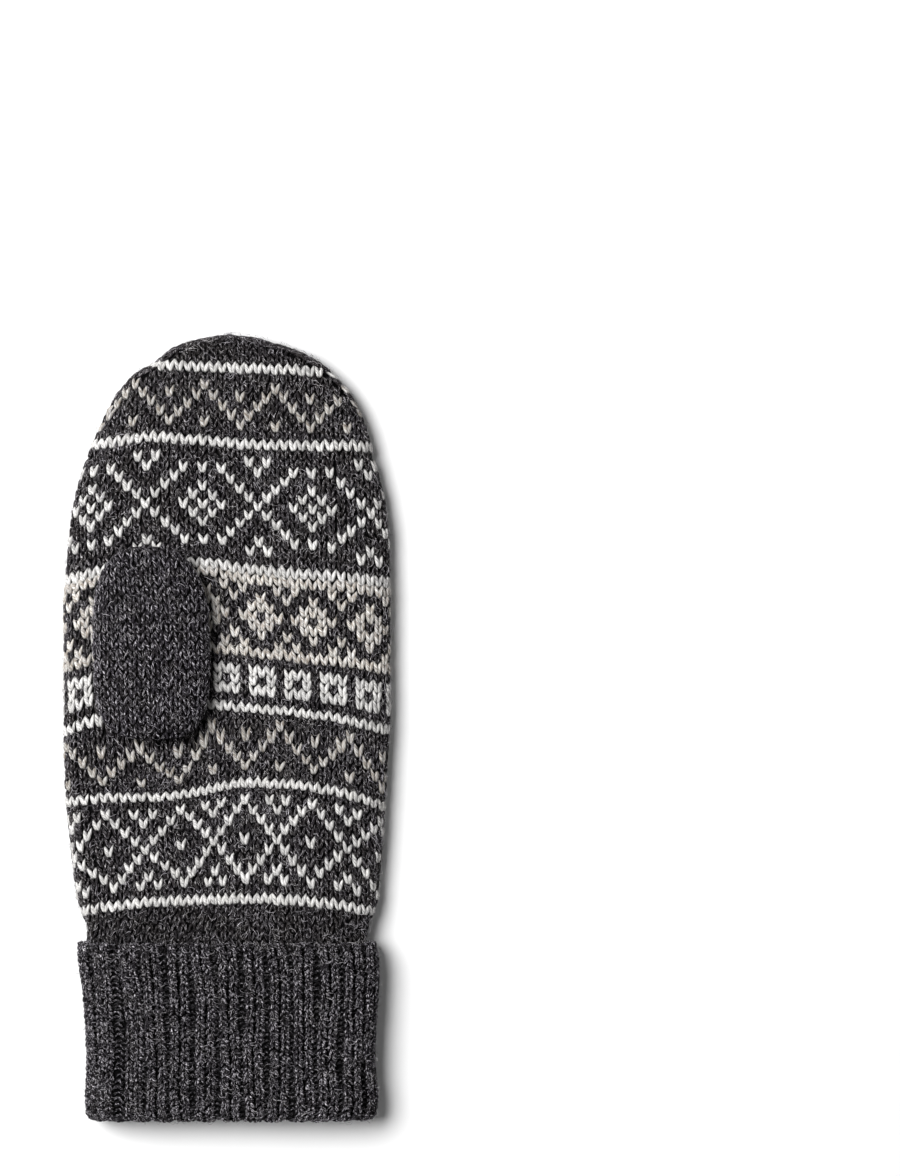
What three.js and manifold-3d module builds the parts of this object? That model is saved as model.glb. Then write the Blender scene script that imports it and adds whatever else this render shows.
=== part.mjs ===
// Jacquard mitten for the left hand, knitted in the round and lying flat on its back, palm up.
// Millimetres. +X runs across the palm, +Y towards the fingertips, +Z up.
// The origin is under the middle of the mitten, on the surface that it lies on.
import * as THREE from "three";
import { mergeVertices } from "three/addons/utils/BufferGeometryUtils.js";
import Module from "manifold-3d";

// Hand: the patterned tube from the cuff's top edge to the fingertips
const HAND_LENGTH = 216.2;
const HAND_WIDTH = 117.2;
const PALM_HEIGHT = 15.5;
const HAND_RIM_HEIGHT = 5.6;
const HAND_WALL = 2.4;

// Cuff: ribbed, turned up once, with the fold at the wrist and the free edge towards the hand
const CUFF_HEIGHT = 63.8;
const CUFF_WIDTH = 108.2;
const CUFF_THICKNESS = 18.4;
const CUFF_RIM_HEIGHT = 8.2;
const CUFF_OUTER_LAYER = 3.0;
const CUFF_INNER_LAYER = 2.4;
const CUFF_LAYER_GAP = 0.6;
const CUFF_FOLD_DEPTH = 5.5;
const CUFF_RIB_COUNT = 26;
const CUFF_RIB_DEPTH = 0.9;
const NECK_TUCK = 12;
const NECK_TAPER = 15;

// Thumb: a plain tube that comes up through the palm and lies on it
const THUMB_LENGTH = 69.2;
const THUMB_WIDTH = 42;
const THUMB_THICKNESS = 10.4;
const THUMB_WALL = 2.1;
const THUMB_EDGE_INSET = 11.4;
const THUMB_BASE_RISE = 71.6;
const THUMB_ROOT_WIDTH = 31;
const THUMB_ROOT_DEPTH = 17;
const THUMB_ROOT_INSET = 0.8;

// Running gap between pieces that touch on the real mitten
const SEAT_GAP = 0.3;
const NECK_GAP = 0.5;
const DRAPE_GAP = 0.4;

// How far a cutter runs past the face that it cuts
const CUT_OVERSHOOT = 2;

// How full a flattened tube is towards its rims, and how hard its underside is pressed flat
const HAND_FULLNESS = 4.6;
const CUFF_FULLNESS = 7;
const BASE_FULLNESS = 6;
const BASE_PRESS = 1.16;
const THUMB_FULLNESS = 3;
const ROOT_FULLNESS = 2.6;

// Facets
const HAND_POINTS = 48;
const THUMB_POINTS = 28;
const ROOT_POINTS = 28;
const RIB_POINTS = 3;
const HAND_STEP = 13;
const ARC_SAMPLES = 180;

// along: share of the hand's length from the cuff's edge. half and centre: shares of half the width.
// rise: share of the palm's height above the rim. sink: share of the rim's height below it.
const HAND_ROWS = [
  { along: 0.0, half: 0.862, centre: 0.02, rise: 0.86, sink: 0.6 },
  { along: 0.018, half: 0.868, centre: 0.018, rise: 0.87, sink: 0.66 },
  { along: 0.044, half: 0.906, centre: 0.01, rise: 0.89, sink: 0.8 },
  { along: 0.109, half: 0.938, centre: 0.0, rise: 0.94, sink: 1 },
  { along: 0.183, half: 0.962, centre: -0.004, rise: 0.98, sink: 1 },
  { along: 0.229, half: 0.976, centre: -0.008, rise: 1, sink: 1 },
  { along: 0.298, half: 0.99, centre: -0.006, rise: 1, sink: 1 },
  { along: 0.38, half: 1, centre: 0, rise: 1, sink: 1 },
  { along: 0.54, half: 1, centre: 0, rise: 0.99, sink: 1 },
  { along: 0.606, half: 0.992, centre: 0.006, rise: 0.97, sink: 1 },
  { along: 0.672, half: 0.978, centre: 0.013, rise: 0.94, sink: 1 },
  { along: 0.728, half: 0.949, centre: 0.016, rise: 0.91, sink: 1 },
  { along: 0.789, half: 0.889, centre: 0.022, rise: 0.87, sink: 1 },
  { along: 0.833, half: 0.834, centre: 0.034, rise: 0.84, sink: 1 },
  { along: 0.883, half: 0.757, centre: 0.042, rise: 0.8, sink: 1 },
  { along: 0.929, half: 0.632, centre: 0.041, rise: 0.75, sink: 1 },
  { along: 0.9556, half: 0.5, centre: 0.06, rise: 0.69, sink: 0.98 },
  { along: 0.9736, half: 0.4, centre: 0.04, rise: 0.59, sink: 0.9 },
  { along: 0.9866, half: 0.268, centre: 0.012, rise: 0.46, sink: 0.74 },
  { along: 0.9945, half: 0.16, centre: 0.018, rise: 0.32, sink: 0.52 },
  { along: 1.0, half: 0.0, centre: 0.02, rise: 0, sink: 0 },
];

// up: share of the cuff's height from its fold. half, centre: shares of half the cuff's width.
const CUFF_ROWS = [
  { up: 0, half: 0.956, centre: 0.03 },
  { up: 0.12, half: 0.975, centre: 0.032 },
  { up: 0.32, half: 0.96, centre: 0.03 },
  { up: 0.7, half: 0.982, centre: 0.029 },
  { up: 0.9, half: 1, centre: 0.014 },
  { up: 1, half: 0.992, centre: 0.002 },
];

// along: share of the thumb's length from its root. half, centre: shares of half its width.
// rise: share of its thickness.
const THUMB_ROWS = [
  { along: 0, half: 0, centre: 0.16, rise: 0 },
  { along: 0.012, half: 0.5, centre: 0.15, rise: 0.36 },
  { along: 0.05, half: 0.72, centre: 0.14, rise: 0.68 },
  { along: 0.1, half: 0.83, centre: 0.12, rise: 0.86 },
  { along: 0.2, half: 0.935, centre: 0.06, rise: 1 },
  { along: 0.36, half: 0.985, centre: 0.01, rise: 1 },
  { along: 0.53, half: 1, centre: 0, rise: 0.97 },
  { along: 0.66, half: 0.99, centre: -0.005, rise: 0.95 },
  { along: 0.77, half: 0.945, centre: -0.03, rise: 0.93 },
  { along: 0.86, half: 0.85, centre: -0.1, rise: 0.9 },
  { along: 0.92, half: 0.74, centre: -0.15, rise: 0.84 },
  { along: 0.965, half: 0.58, centre: -0.17, rise: 0.68 },
  { along: 0.99, half: 0.38, centre: -0.17, rise: 0.44 },
  { along: 1, half: 0, centre: -0.17, rise: 0 },
];

// Soft swells and dents of the palm. across, reachAcross: shares of half the hand's width.
// along, reachAlong: shares of its length. rise: share of the palm's height, below 0 for a dent.
const PALM_SWELLS = [
  { across: -0.42, along: 0.275, reachAcross: 0.42, reachAlong: 0.05, rise: 0.07 },
  { across: -0.43, along: 0.47, reachAcross: 0.36, reachAlong: 0.15, rise: -0.09 },
  { across: 0.02, along: 0.47, reachAcross: 0.13, reachAlong: 0.16, rise: -0.03 },
  { across: 0.45, along: 0.33, reachAcross: 0.3, reachAlong: 0.12, rise: 0.03 },
  { across: 0.2, along: 0.72, reachAcross: 0.5, reachAlong: 0.09, rise: 0.03 },
  { across: 0.1, along: 0.1, reachAcross: 0.6, reachAlong: 0.04, rise: -0.03 },
];

const MITTEN_LENGTH = HAND_LENGTH + CUFF_HEIGHT;
const FINGERTIP_Y = MITTEN_LENGTH / 2;
const WRIST_Y = -MITTEN_LENGTH / 2;
const CUFF_EDGE_Y = WRIST_Y + CUFF_HEIGHT;
const NECK_END_Y = CUFF_EDGE_Y - NECK_TUCK;
const NECK_INSET = CUFF_OUTER_LAYER + NECK_GAP;
const CUFF_INNER_FACE = CUFF_OUTER_LAYER + CUFF_LAYER_GAP + CUFF_INNER_LAYER;
const CUFF_INNER_TOP_Y = NECK_END_Y - SEAT_GAP;
const THUMB_ROOT_Y = CUFF_EDGE_Y + THUMB_BASE_RISE;
const THUMB_X = -HAND_WIDTH / 2 + THUMB_EDGE_INSET + THUMB_WIDTH / 2;

const clamp = (value, low, high) => Math.min(high, Math.max(low, value));
const mix = (a, b, share) => a + (b - a) * share;

function smoothStep(value, low, high) {
  const share = clamp((value - low) / (high - low), 0, 1);
  return share * share * (3 - 2 * share);
}

// One column of a table, read smoothly between its rows without overshooting them
function readColumn(rows, key, column, place) {
  const last = rows.length - 1;
  const at = clamp(place, rows[0][key], rows[last][key]);
  let i = 0;
  while (i < last - 1 && at > rows[i + 1][key]) i += 1;
  const slope = (j) => (rows[j + 1][column] - rows[j][column]) / (rows[j + 1][key] - rows[j][key]);
  const tangent = (j) => {
    if (j === 0) return slope(0);
    if (j === last) return slope(last - 1);
    const before = slope(j - 1);
    const after = slope(j);
    return before * after > 0 ? (2 * before * after) / (before + after) : 0;
  };
  const span = rows[i + 1][key] - rows[i][key];
  const t = (at - rows[i][key]) / span;
  const pull = t * (1 - t);
  const ease = t * t * (3 - 2 * t);
  const bend = pull * ((1 - t) * tangent(i) - t * tangent(i + 1)) * span;
  return mix(rows[i][column], rows[i + 1][column], ease) + bend;
}

// A tube's cross-section: its middle line, half width, the heights of its rim, top and base, and
// how full its top is towards the rims
function cuffSection(y, inset) {
  const up = (y - WRIST_Y) / CUFF_HEIGHT;
  const halfWidth = CUFF_WIDTH / 2;
  return {
    centre: halfWidth * readColumn(CUFF_ROWS, "up", "centre", up),
    half: halfWidth * readColumn(CUFF_ROWS, "up", "half", up) - inset,
    rim: CUFF_RIM_HEIGHT,
    top: CUFF_THICKNESS - inset,
    base: inset,
    fullness: CUFF_FULLNESS,
  };
}

function handSection(y, inset) {
  const along = (y - CUFF_EDGE_Y) / HAND_LENGTH;
  const halfWidth = HAND_WIDTH / 2;
  const read = (column) => readColumn(HAND_ROWS, "along", column, along);
  const neck = cuffSection(Math.min(y, CUFF_EDGE_Y), NECK_INSET + inset);
  const open = smoothStep(y, CUFF_EDGE_Y, CUFF_EDGE_Y + NECK_TAPER);
  return {
    centre: mix(neck.centre, halfWidth * read("centre"), open),
    half: mix(neck.half, (halfWidth - inset) * read("half"), open),
    rim: mix(neck.rim, HAND_RIM_HEIGHT, open),
    top: mix(neck.top, HAND_RIM_HEIGHT + (PALM_HEIGHT - HAND_RIM_HEIGHT - inset) * read("rise"), open),
    base: mix(neck.base, HAND_RIM_HEIGHT - (HAND_RIM_HEIGHT - inset) * read("sink"), open),
    fullness: mix(neck.fullness, HAND_FULLNESS, open),
  };
}

// Height of the domed top over a place across the section, as a share from rim to crest
function domeShare(across, fullness) {
  return Math.sqrt(Math.max(0, 1 - Math.abs(across) ** fullness));
}

function palmSwell(x, y) {
  const along = (y - CUFF_EDGE_Y) / HAND_LENGTH;
  const across = x / (HAND_WIDTH / 2);
  let rise = 0;
  for (const swell of PALM_SWELLS) {
    const a = (across - swell.across) / swell.reachAcross;
    const b = (along - swell.along) / swell.reachAlong;
    rise += swell.rise * Math.exp(-(a * a + b * b));
  }
  return rise * PALM_HEIGHT * smoothStep(y, CUFF_EDGE_Y, CUFF_EDGE_Y + NECK_TAPER);
}

function palmTop(x, y) {
  const section = handSection(y, 0);
  const dome = domeShare((x - section.centre) / section.half, section.fullness);
  return section.rim + (section.top - section.rim + palmSwell(x, y)) * dome;
}

// Point of a section at a share of the way round, from the +X rim over the top and back below
function sectionPoint(section, turn) {
  const over = turn <= 0.5;
  const sweep = over ? 1 - 4 * turn : 4 * turn - 3;
  const across = Math.sin((sweep * Math.PI) / 2);
  const x = section.centre + section.half * across;
  if (over) return [x, mix(section.rim, section.top, domeShare(across, section.fullness))];
  const press = BASE_PRESS * Math.sqrt(Math.max(0, 1 - Math.abs(across) ** BASE_FULLNESS));
  return [x, section.rim - (section.rim - section.base) * Math.min(1, press)];
}

function ring(section, y, count) {
  return Array.from({ length: count }, (_, i) => {
    const [x, z] = sectionPoint(section, i / count);
    return [x, y, z];
  });
}

// Shares of the way round a section that are even lengths of cloth apart, with one at each rim
function evenPlaces(section, count) {
  const over = Math.ceil(count / 2);
  const half = (from, places) => {
    const lengths = [0];
    for (let i = 1; i <= ARC_SAMPLES; i += 1) {
      const [x0, z0] = sectionPoint(section, from + (i - 1) / ARC_SAMPLES / 2);
      const [x1, z1] = sectionPoint(section, from + i / ARC_SAMPLES / 2);
      lengths.push(lengths[i - 1] + Math.hypot(x1 - x0, z1 - z0));
    }
    return Array.from({ length: places }, (_, place) => {
      const goal = (place / places) * lengths[ARC_SAMPLES];
      const i = Math.max(0, lengths.findIndex((length) => length > goal) - 1);
      return from + (i + (goal - lengths[i]) / (lengths[i + 1] - lengths[i])) / ARC_SAMPLES / 2;
    });
  };
  return [...half(0, over), ...half(0.5, count - over)];
}

function meshGeometry(points, triangles) {
  const geometry = new THREE.BufferGeometry();
  geometry.setAttribute("position", new THREE.Float32BufferAttribute(points.flat(), 3));
  geometry.setIndex(triangles.flat());
  return geometry;
}

// Closed skin over rings of equal count that run towards +Y, capped by a point or a flat fan
function skinOver(rings, startPoint, endPoint) {
  const count = rings[0].length;
  const points = [...rings.flat(), startPoint, endPoint];
  const start = points.length - 2;
  const end = points.length - 1;
  const lastRing = (rings.length - 1) * count;
  const triangles = [];
  for (let i = 0; i < count; i += 1) {
    const j = (i + 1) % count;
    triangles.push([start, i, j], [end, lastRing + j, lastRing + i]);
    for (let base = 0; base < lastRing; base += count) {
      triangles.push([base + i, base + count + j, base + j], [base + i, base + count + i, base + count + j]);
    }
  }
  return meshGeometry(points, triangles);
}

const wasm = await Module();
wasm.setup();

function toSolid(geometry) {
  const plain = geometry.clone();
  plain.deleteAttribute("normal");
  plain.deleteAttribute("uv");
  const merged = mergeVertices(plain, 1e-4);
  const vertProperties = new Float32Array(merged.attributes.position.array);
  const triVerts = new Uint32Array(merged.index.array);
  return new wasm.Manifold(new wasm.Mesh({ numProp: 3, vertProperties, triVerts }));
}

function toGeometry(solid) {
  const mesh = solid.getMesh();
  const geometry = new THREE.BufferGeometry();
  geometry.setAttribute("position", new THREE.BufferAttribute(new Float32Array(mesh.vertProperties), 3));
  geometry.setIndex(new THREE.BufferAttribute(new Uint32Array(mesh.triVerts), 1));
  return geometry;
}

// Stations along Y: every row of a table, and steps of at most HAND_STEP between them
function stations(rows, key, startY, length) {
  const places = [];
  for (let i = 0; i < rows.length - 1; i += 1) {
    const from = startY + rows[i][key] * length;
    const to = startY + rows[i + 1][key] * length;
    const steps = Math.max(1, Math.round((to - from) / HAND_STEP));
    for (let k = 0; k < steps; k += 1) places.push(mix(from, to, k / steps));
  }
  return places;
}

// The hand's outer face (inset 0) or the face of its hollow (inset by the wall)
function handSkin(inset, neckY) {
  const shrink = (HAND_LENGTH - inset) / HAND_LENGTH;
  const inCuff = CUFF_ROWS.map((row) => WRIST_Y + row.up * CUFF_HEIGHT)
    .filter((y) => y > neckY + 1 && y < CUFF_EDGE_Y - 1);
  const places = [...inCuff, ...stations(HAND_ROWS, "along", CUFF_EDGE_Y, HAND_LENGTH)];
  const ringAt = (y, shownY) => ring(handSection(y, inset), shownY, HAND_POINTS).map(([x, , z]) => {
    const section = handSection(y, inset);
    const lift = Math.max(0, (z - section.rim) / Math.max(section.top - section.rim, 1e-6));
    return [x, shownY, z + palmSwell(x, shownY) * lift];
  });
  const rings = [ringAt(neckY, neckY)];
  for (const y of places) {
    rings.push(ringAt(y, y > CUFF_EDGE_Y ? CUFF_EDGE_Y + (y - CUFF_EDGE_Y) * shrink : y));
  }
  const neck = handSection(neckY, inset);
  const tip = handSection(FINGERTIP_Y, inset);
  return skinOver(rings, [neck.centre, neckY, neck.rim], [tip.centre, FINGERTIP_Y - inset, tip.rim]);
}

// An upright oval plug that follows the palm: where the thumb's root goes through it
function rootPlug(inset, low, high) {
  const halfX = THUMB_ROOT_WIDTH / 2 - inset;
  const halfY = THUMB_ROOT_DEPTH / 2 - inset;
  const centreY = THUMB_ROOT_Y + THUMB_ROOT_INSET + THUMB_ROOT_DEPTH / 2;
  const along = (centreY - THUMB_ROOT_Y) / THUMB_LENGTH;
  const centreX = THUMB_X + readColumn(THUMB_ROWS, "along", "centre", along) * (THUMB_WIDTH / 2);
  const round = 2 / ROOT_FULLNESS;
  const oval = Array.from({ length: ROOT_POINTS }, (_, i) => {
    const angle = (-2 * Math.PI * i) / ROOT_POINTS;
    const c = Math.cos(angle);
    const s = Math.sin(angle);
    const x = centreX + halfX * Math.sign(c) * Math.abs(c) ** round;
    return [x, centreY + halfY * Math.sign(s) * Math.abs(s) ** round];
  });
  const ringAt = (height) => oval.map(([x, y]) => [x, y, palmTop(x, y) + height]);
  const middle = palmTop(centreX, centreY);
  return toSolid(skinOver(
    [ringAt(low), ringAt(high)],
    [centreX, centreY, middle + low],
    [centreX, centreY, middle + high],
  ));
}

// The thumb's closed pouch, laid over the palm
function thumbPouch(inset) {
  const length = THUMB_LENGTH - 2 * inset;
  const rings = THUMB_ROWS.slice(1, -1).map((row) => {
    const section = {
      centre: THUMB_X + (row.centre * THUMB_WIDTH) / 2,
      half: row.half * (THUMB_WIDTH / 2 - inset),
      rim: DRAPE_GAP + THUMB_THICKNESS / 2,
      top: DRAPE_GAP + THUMB_THICKNESS / 2 + row.rise * (THUMB_THICKNESS / 2 - inset),
      base: DRAPE_GAP + THUMB_THICKNESS / 2 - row.rise * (THUMB_THICKNESS / 2 - inset),
      fullness: THUMB_FULLNESS,
    };
    const y = THUMB_ROOT_Y + inset + row.along * length;
    return ring(section, y, THUMB_POINTS).map(([x, , z]) => [x, y, z + palmTop(x, y)]);
  });
  const capPoint = (row, y) => {
    const x = THUMB_X + (row.centre * THUMB_WIDTH) / 2;
    return [x, y, palmTop(x, y) + DRAPE_GAP + THUMB_THICKNESS / 2];
  };
  const rootCap = capPoint(THUMB_ROWS[0], THUMB_ROOT_Y + inset);
  const tipCap = capPoint(THUMB_ROWS[THUMB_ROWS.length - 1], THUMB_ROOT_Y + THUMB_LENGTH - inset);
  return toSolid(skinOver(rings, rootCap, tipCap));
}

// The hand: one knitted wall, open at the neck, with an oval hole in the palm for the thumb
function handGeometry() {
  const hollow = toSolid(handSkin(HAND_WALL, NECK_END_Y - CUT_OVERSHOOT));
  const hole = rootPlug(-SEAT_GAP, -HAND_WALL - CUT_OVERSHOOT, CUT_OVERSHOOT);
  return toGeometry(toSolid(handSkin(0, NECK_END_Y)).subtract(hollow).subtract(hole));
}

// The thumb: a pouch whose root goes down through the palm, hollow all the way
function thumbGeometry() {
  const middle = THUMB_THICKNESS / 2;
  const channel = rootPlug(THUMB_WALL, -HAND_WALL - CUT_OVERSHOOT, middle);
  const body = thumbPouch(0).add(rootPlug(0, -HAND_WALL, middle));
  return toGeometry(body.subtract(thumbPouch(THUMB_WALL).add(channel)));
}

// The cuff's profile: y, and the inset from its outer face. ribbed: how much of a groove cuts it
function cuffProfile() {
  const edge = CUFF_EDGE_Y;
  const outer = CUFF_OUTER_LAYER;
  const slot = outer + CUFF_LAYER_GAP;
  const full = CUFF_INNER_FACE;
  const slotEndY = WRIST_Y + CUFF_FOLD_DEPTH;
  const rowsBetween = (low, high, inset, ribbed) => CUFF_ROWS
    .map((row) => ({ y: WRIST_Y + row.up * CUFF_HEIGHT, inset, ribbed }))
    .filter(({ y }) => y > low + 1 && y < high - 1);
  return [
    { y: edge, inset: outer * 0.55, ribbed: 0.3 },
    { y: edge - outer * 0.4, inset: outer * 0.1, ribbed: 0.8 },
    ...rowsBetween(WRIST_Y + full * 0.3, edge, 0, 1).reverse(),
    { y: WRIST_Y + full * 0.3, inset: full * 0.06, ribbed: 0.9 },
    { y: WRIST_Y, inset: full * 0.4, ribbed: 0.2 },
    { y: WRIST_Y, inset: full * 0.6, ribbed: 0 },
    { y: WRIST_Y + full * 0.35, inset: full, ribbed: 0 },
    ...rowsBetween(slotEndY, CUFF_INNER_TOP_Y, full, 0),
    { y: CUFF_INNER_TOP_Y, inset: full, ribbed: 0 },
    { y: CUFF_INNER_TOP_Y, inset: slot, ribbed: 0 },
    ...rowsBetween(slotEndY, CUFF_INNER_TOP_Y, slot, 0).reverse(),
    { y: slotEndY, inset: slot, ribbed: 0 },
    { y: slotEndY, inset: outer, ribbed: 0 },
    ...rowsBetween(slotEndY, edge, outer, 0),
    { y: edge - outer * 0.3, inset: outer, ribbed: 0 },
  ];
}

// The cuff: the profile carried round the wrist, with a groove between each two ribs outside
function cuffGeometry() {
  const count = CUFF_RIB_COUNT * RIB_POINTS;
  const profile = cuffProfile();
  const points = profile.flatMap(({ y, inset, ribbed }) => {
    const places = evenPlaces(cuffSection(y, inset), count);
    return places.map((turn, i) => {
      const groove = i % RIB_POINTS === 0 ? CUFF_RIB_DEPTH * ribbed : 0;
      const [x, z] = sectionPoint(cuffSection(y, inset + groove), turn);
      return [x, y, z];
    });
  });
  const triangles = [];
  for (let row = 0; row < profile.length; row += 1) {
    const here = row * count;
    const next = ((row + 1) % profile.length) * count;
    for (let i = 0; i < count; i += 1) {
      const j = (i + 1) % count;
      triangles.push([here + i, here + j, next + j], [here + i, next + j, next + i]);
    }
  }
  return meshGeometry(points, triangles);
}

const patternedKnit = new THREE.MeshStandardMaterial({ color: 0x6b6867, roughness: 0.95, metalness: 0 });
const charcoalKnit = new THREE.MeshStandardMaterial({ color: 0x3b393c, roughness: 0.95, metalness: 0 });

function piece(name, geometry, material) {
  const mesh = new THREE.Mesh(geometry, material);
  mesh.name = name;
  return mesh;
}

const mitten = new THREE.Group();
mitten.add(piece("hand", handGeometry(), patternedKnit));
mitten.add(piece("thumb", thumbGeometry(), charcoalKnit));
mitten.add(piece("cuff", cuffGeometry(), charcoalKnit));

export default mitten;
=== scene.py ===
import math

import bmesh
import bpy
import numpy as np
from bpy.props import FloatProperty, FloatVectorProperty, IntProperty, PointerProperty
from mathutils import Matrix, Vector


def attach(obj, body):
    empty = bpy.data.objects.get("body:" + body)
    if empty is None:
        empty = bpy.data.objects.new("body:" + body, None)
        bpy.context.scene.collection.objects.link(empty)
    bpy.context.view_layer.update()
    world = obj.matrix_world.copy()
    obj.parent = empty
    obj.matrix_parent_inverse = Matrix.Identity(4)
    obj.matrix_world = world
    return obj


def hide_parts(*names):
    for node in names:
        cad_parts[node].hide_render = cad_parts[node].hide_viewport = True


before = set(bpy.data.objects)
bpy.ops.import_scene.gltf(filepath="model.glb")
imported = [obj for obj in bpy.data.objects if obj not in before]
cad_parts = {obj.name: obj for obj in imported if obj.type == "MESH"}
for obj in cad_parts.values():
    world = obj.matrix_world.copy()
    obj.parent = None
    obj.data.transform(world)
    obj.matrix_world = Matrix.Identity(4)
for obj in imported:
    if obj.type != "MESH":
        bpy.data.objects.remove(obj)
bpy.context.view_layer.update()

bl_info = {
    "name": "Jacquard mitten",
    "version": (1, 0, 0),
    "blender": (4, 5, 0),
    "location": "3D View > Sidebar > Mitten",
    "description": "Knits a patterned wool mitten, stitch by stitch, over its plain solids",
    "category": "Add Mesh",
}

# The solids' own sizes, in millimetres
HAND_LENGTH = 216.2
HAND_WIDTH = 117.2
PALM_HEIGHT = 15.5
HAND_RIM_HEIGHT = 5.6
HAND_WALL = 2.4
CUFF_HEIGHT = 63.8
CUFF_WIDTH = 108.2
CUFF_THICKNESS = 18.4
CUFF_RIM_HEIGHT = 8.2
CUFF_LAYERS = 6.0
CUFF_RIBS = 26
NECK_TUCK = 12
NECK_TAPER = 15
NECK_INSET = 3.5
THUMB_LENGTH = 69.2
THUMB_WIDTH = 42
THUMB_THICKNESS = 10.4
THUMB_WALL = 2.1
THUMB_EDGE_INSET = 11.4
THUMB_BASE_RISE = 71.6
DRAPE_GAP = 0.4
HAND_FULLNESS = 4.6
CUFF_FULLNESS = 7
THUMB_FULLNESS = 3
BASE_FULLNESS = 6
BASE_PRESS = 1.16

FINGERTIP_Y = (HAND_LENGTH + CUFF_HEIGHT) / 2
WRIST_Y = -FINGERTIP_Y
CUFF_EDGE_Y = WRIST_Y + CUFF_HEIGHT
NECK_END_Y = CUFF_EDGE_Y - NECK_TUCK
THUMB_ROOT_Y = CUFF_EDGE_Y + THUMB_BASE_RISE
THUMB_X = -HAND_WIDTH / 2 + THUMB_EDGE_INSET + THUMB_WIDTH / 2


def table(columns, *rows):
    return dict(zip(columns.split(), np.array(rows, float).T))


# along: share of the hand's length from the cuff's edge. half and centre: shares of half the width.
# rise: share of the palm's height above the rim. sink: share of the rim's height below it.
HAND_ROWS = table(
    "along half centre rise sink",
    (0.0, 0.862, 0.02, 0.86, 0.6),
    (0.018, 0.868, 0.018, 0.87, 0.66),
    (0.044, 0.906, 0.01, 0.89, 0.8),
    (0.109, 0.938, 0.0, 0.94, 1),
    (0.183, 0.962, -0.004, 0.98, 1),
    (0.229, 0.976, -0.008, 1, 1),
    (0.298, 0.99, -0.006, 1, 1),
    (0.38, 1, 0, 1, 1),
    (0.54, 1, 0, 0.99, 1),
    (0.606, 0.992, 0.006, 0.97, 1),
    (0.672, 0.978, 0.013, 0.94, 1),
    (0.728, 0.949, 0.016, 0.91, 1),
    (0.789, 0.889, 0.022, 0.87, 1),
    (0.833, 0.834, 0.034, 0.84, 1),
    (0.883, 0.757, 0.042, 0.8, 1),
    (0.929, 0.632, 0.041, 0.75, 1),
    (0.9556, 0.5, 0.06, 0.69, 0.98),
    (0.9736, 0.4, 0.04, 0.59, 0.9),
    (0.9866, 0.268, 0.012, 0.46, 0.74),
    (0.9945, 0.16, 0.018, 0.32, 0.52),
    (1.0, 0.0, 0.02, 0, 0),
)

# up: share of the cuff's height from its fold. half, centre: shares of half the cuff's width.
CUFF_ROWS = table(
    "up half centre",
    (0, 0.956, 0.03),
    (0.12, 0.975, 0.032),
    (0.32, 0.96, 0.03),
    (0.7, 0.982, 0.029),
    (0.9, 1, 0.014),
    (1, 0.992, 0.002),
)

# along: share of the thumb's length from its root. half, centre: shares of half its width.
THUMB_ROWS = table(
    "along half centre rise",
    (0, 0, 0.02, 0),
    (0.012, 0.42, 0.02, 0.36),
    (0.05, 0.68, 0.02, 0.68),
    (0.1, 0.825, 0.01, 0.86),
    (0.2, 0.945, 0.01, 1),
    (0.36, 0.99, 0.01, 1),
    (0.53, 1, 0, 0.97),
    (0.66, 0.985, -0.005, 0.95),
    (0.77, 0.925, -0.02, 0.93),
    (0.86, 0.815, -0.04, 0.9),
    (0.92, 0.68, -0.05, 0.84),
    (0.965, 0.5, -0.06, 0.68),
    (0.99, 0.32, -0.07, 0.44),
    (1, 0, -0.07, 0),
)

# Soft swells and dents of the palm, as shares of half its width, its length and its height
PALM_SWELLS = table(
    "across along reach_across reach_along rise",
    (-0.42, 0.275, 0.42, 0.05, 0.07),
    (-0.43, 0.47, 0.36, 0.15, -0.09),
    (0.02, 0.47, 0.13, 0.16, -0.03),
    (0.45, 0.33, 0.3, 0.12, 0.03),
    (0.2, 0.72, 0.5, 0.09, 0.03),
    (0.1, 0.1, 0.6, 0.04, -0.03),
)

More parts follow.
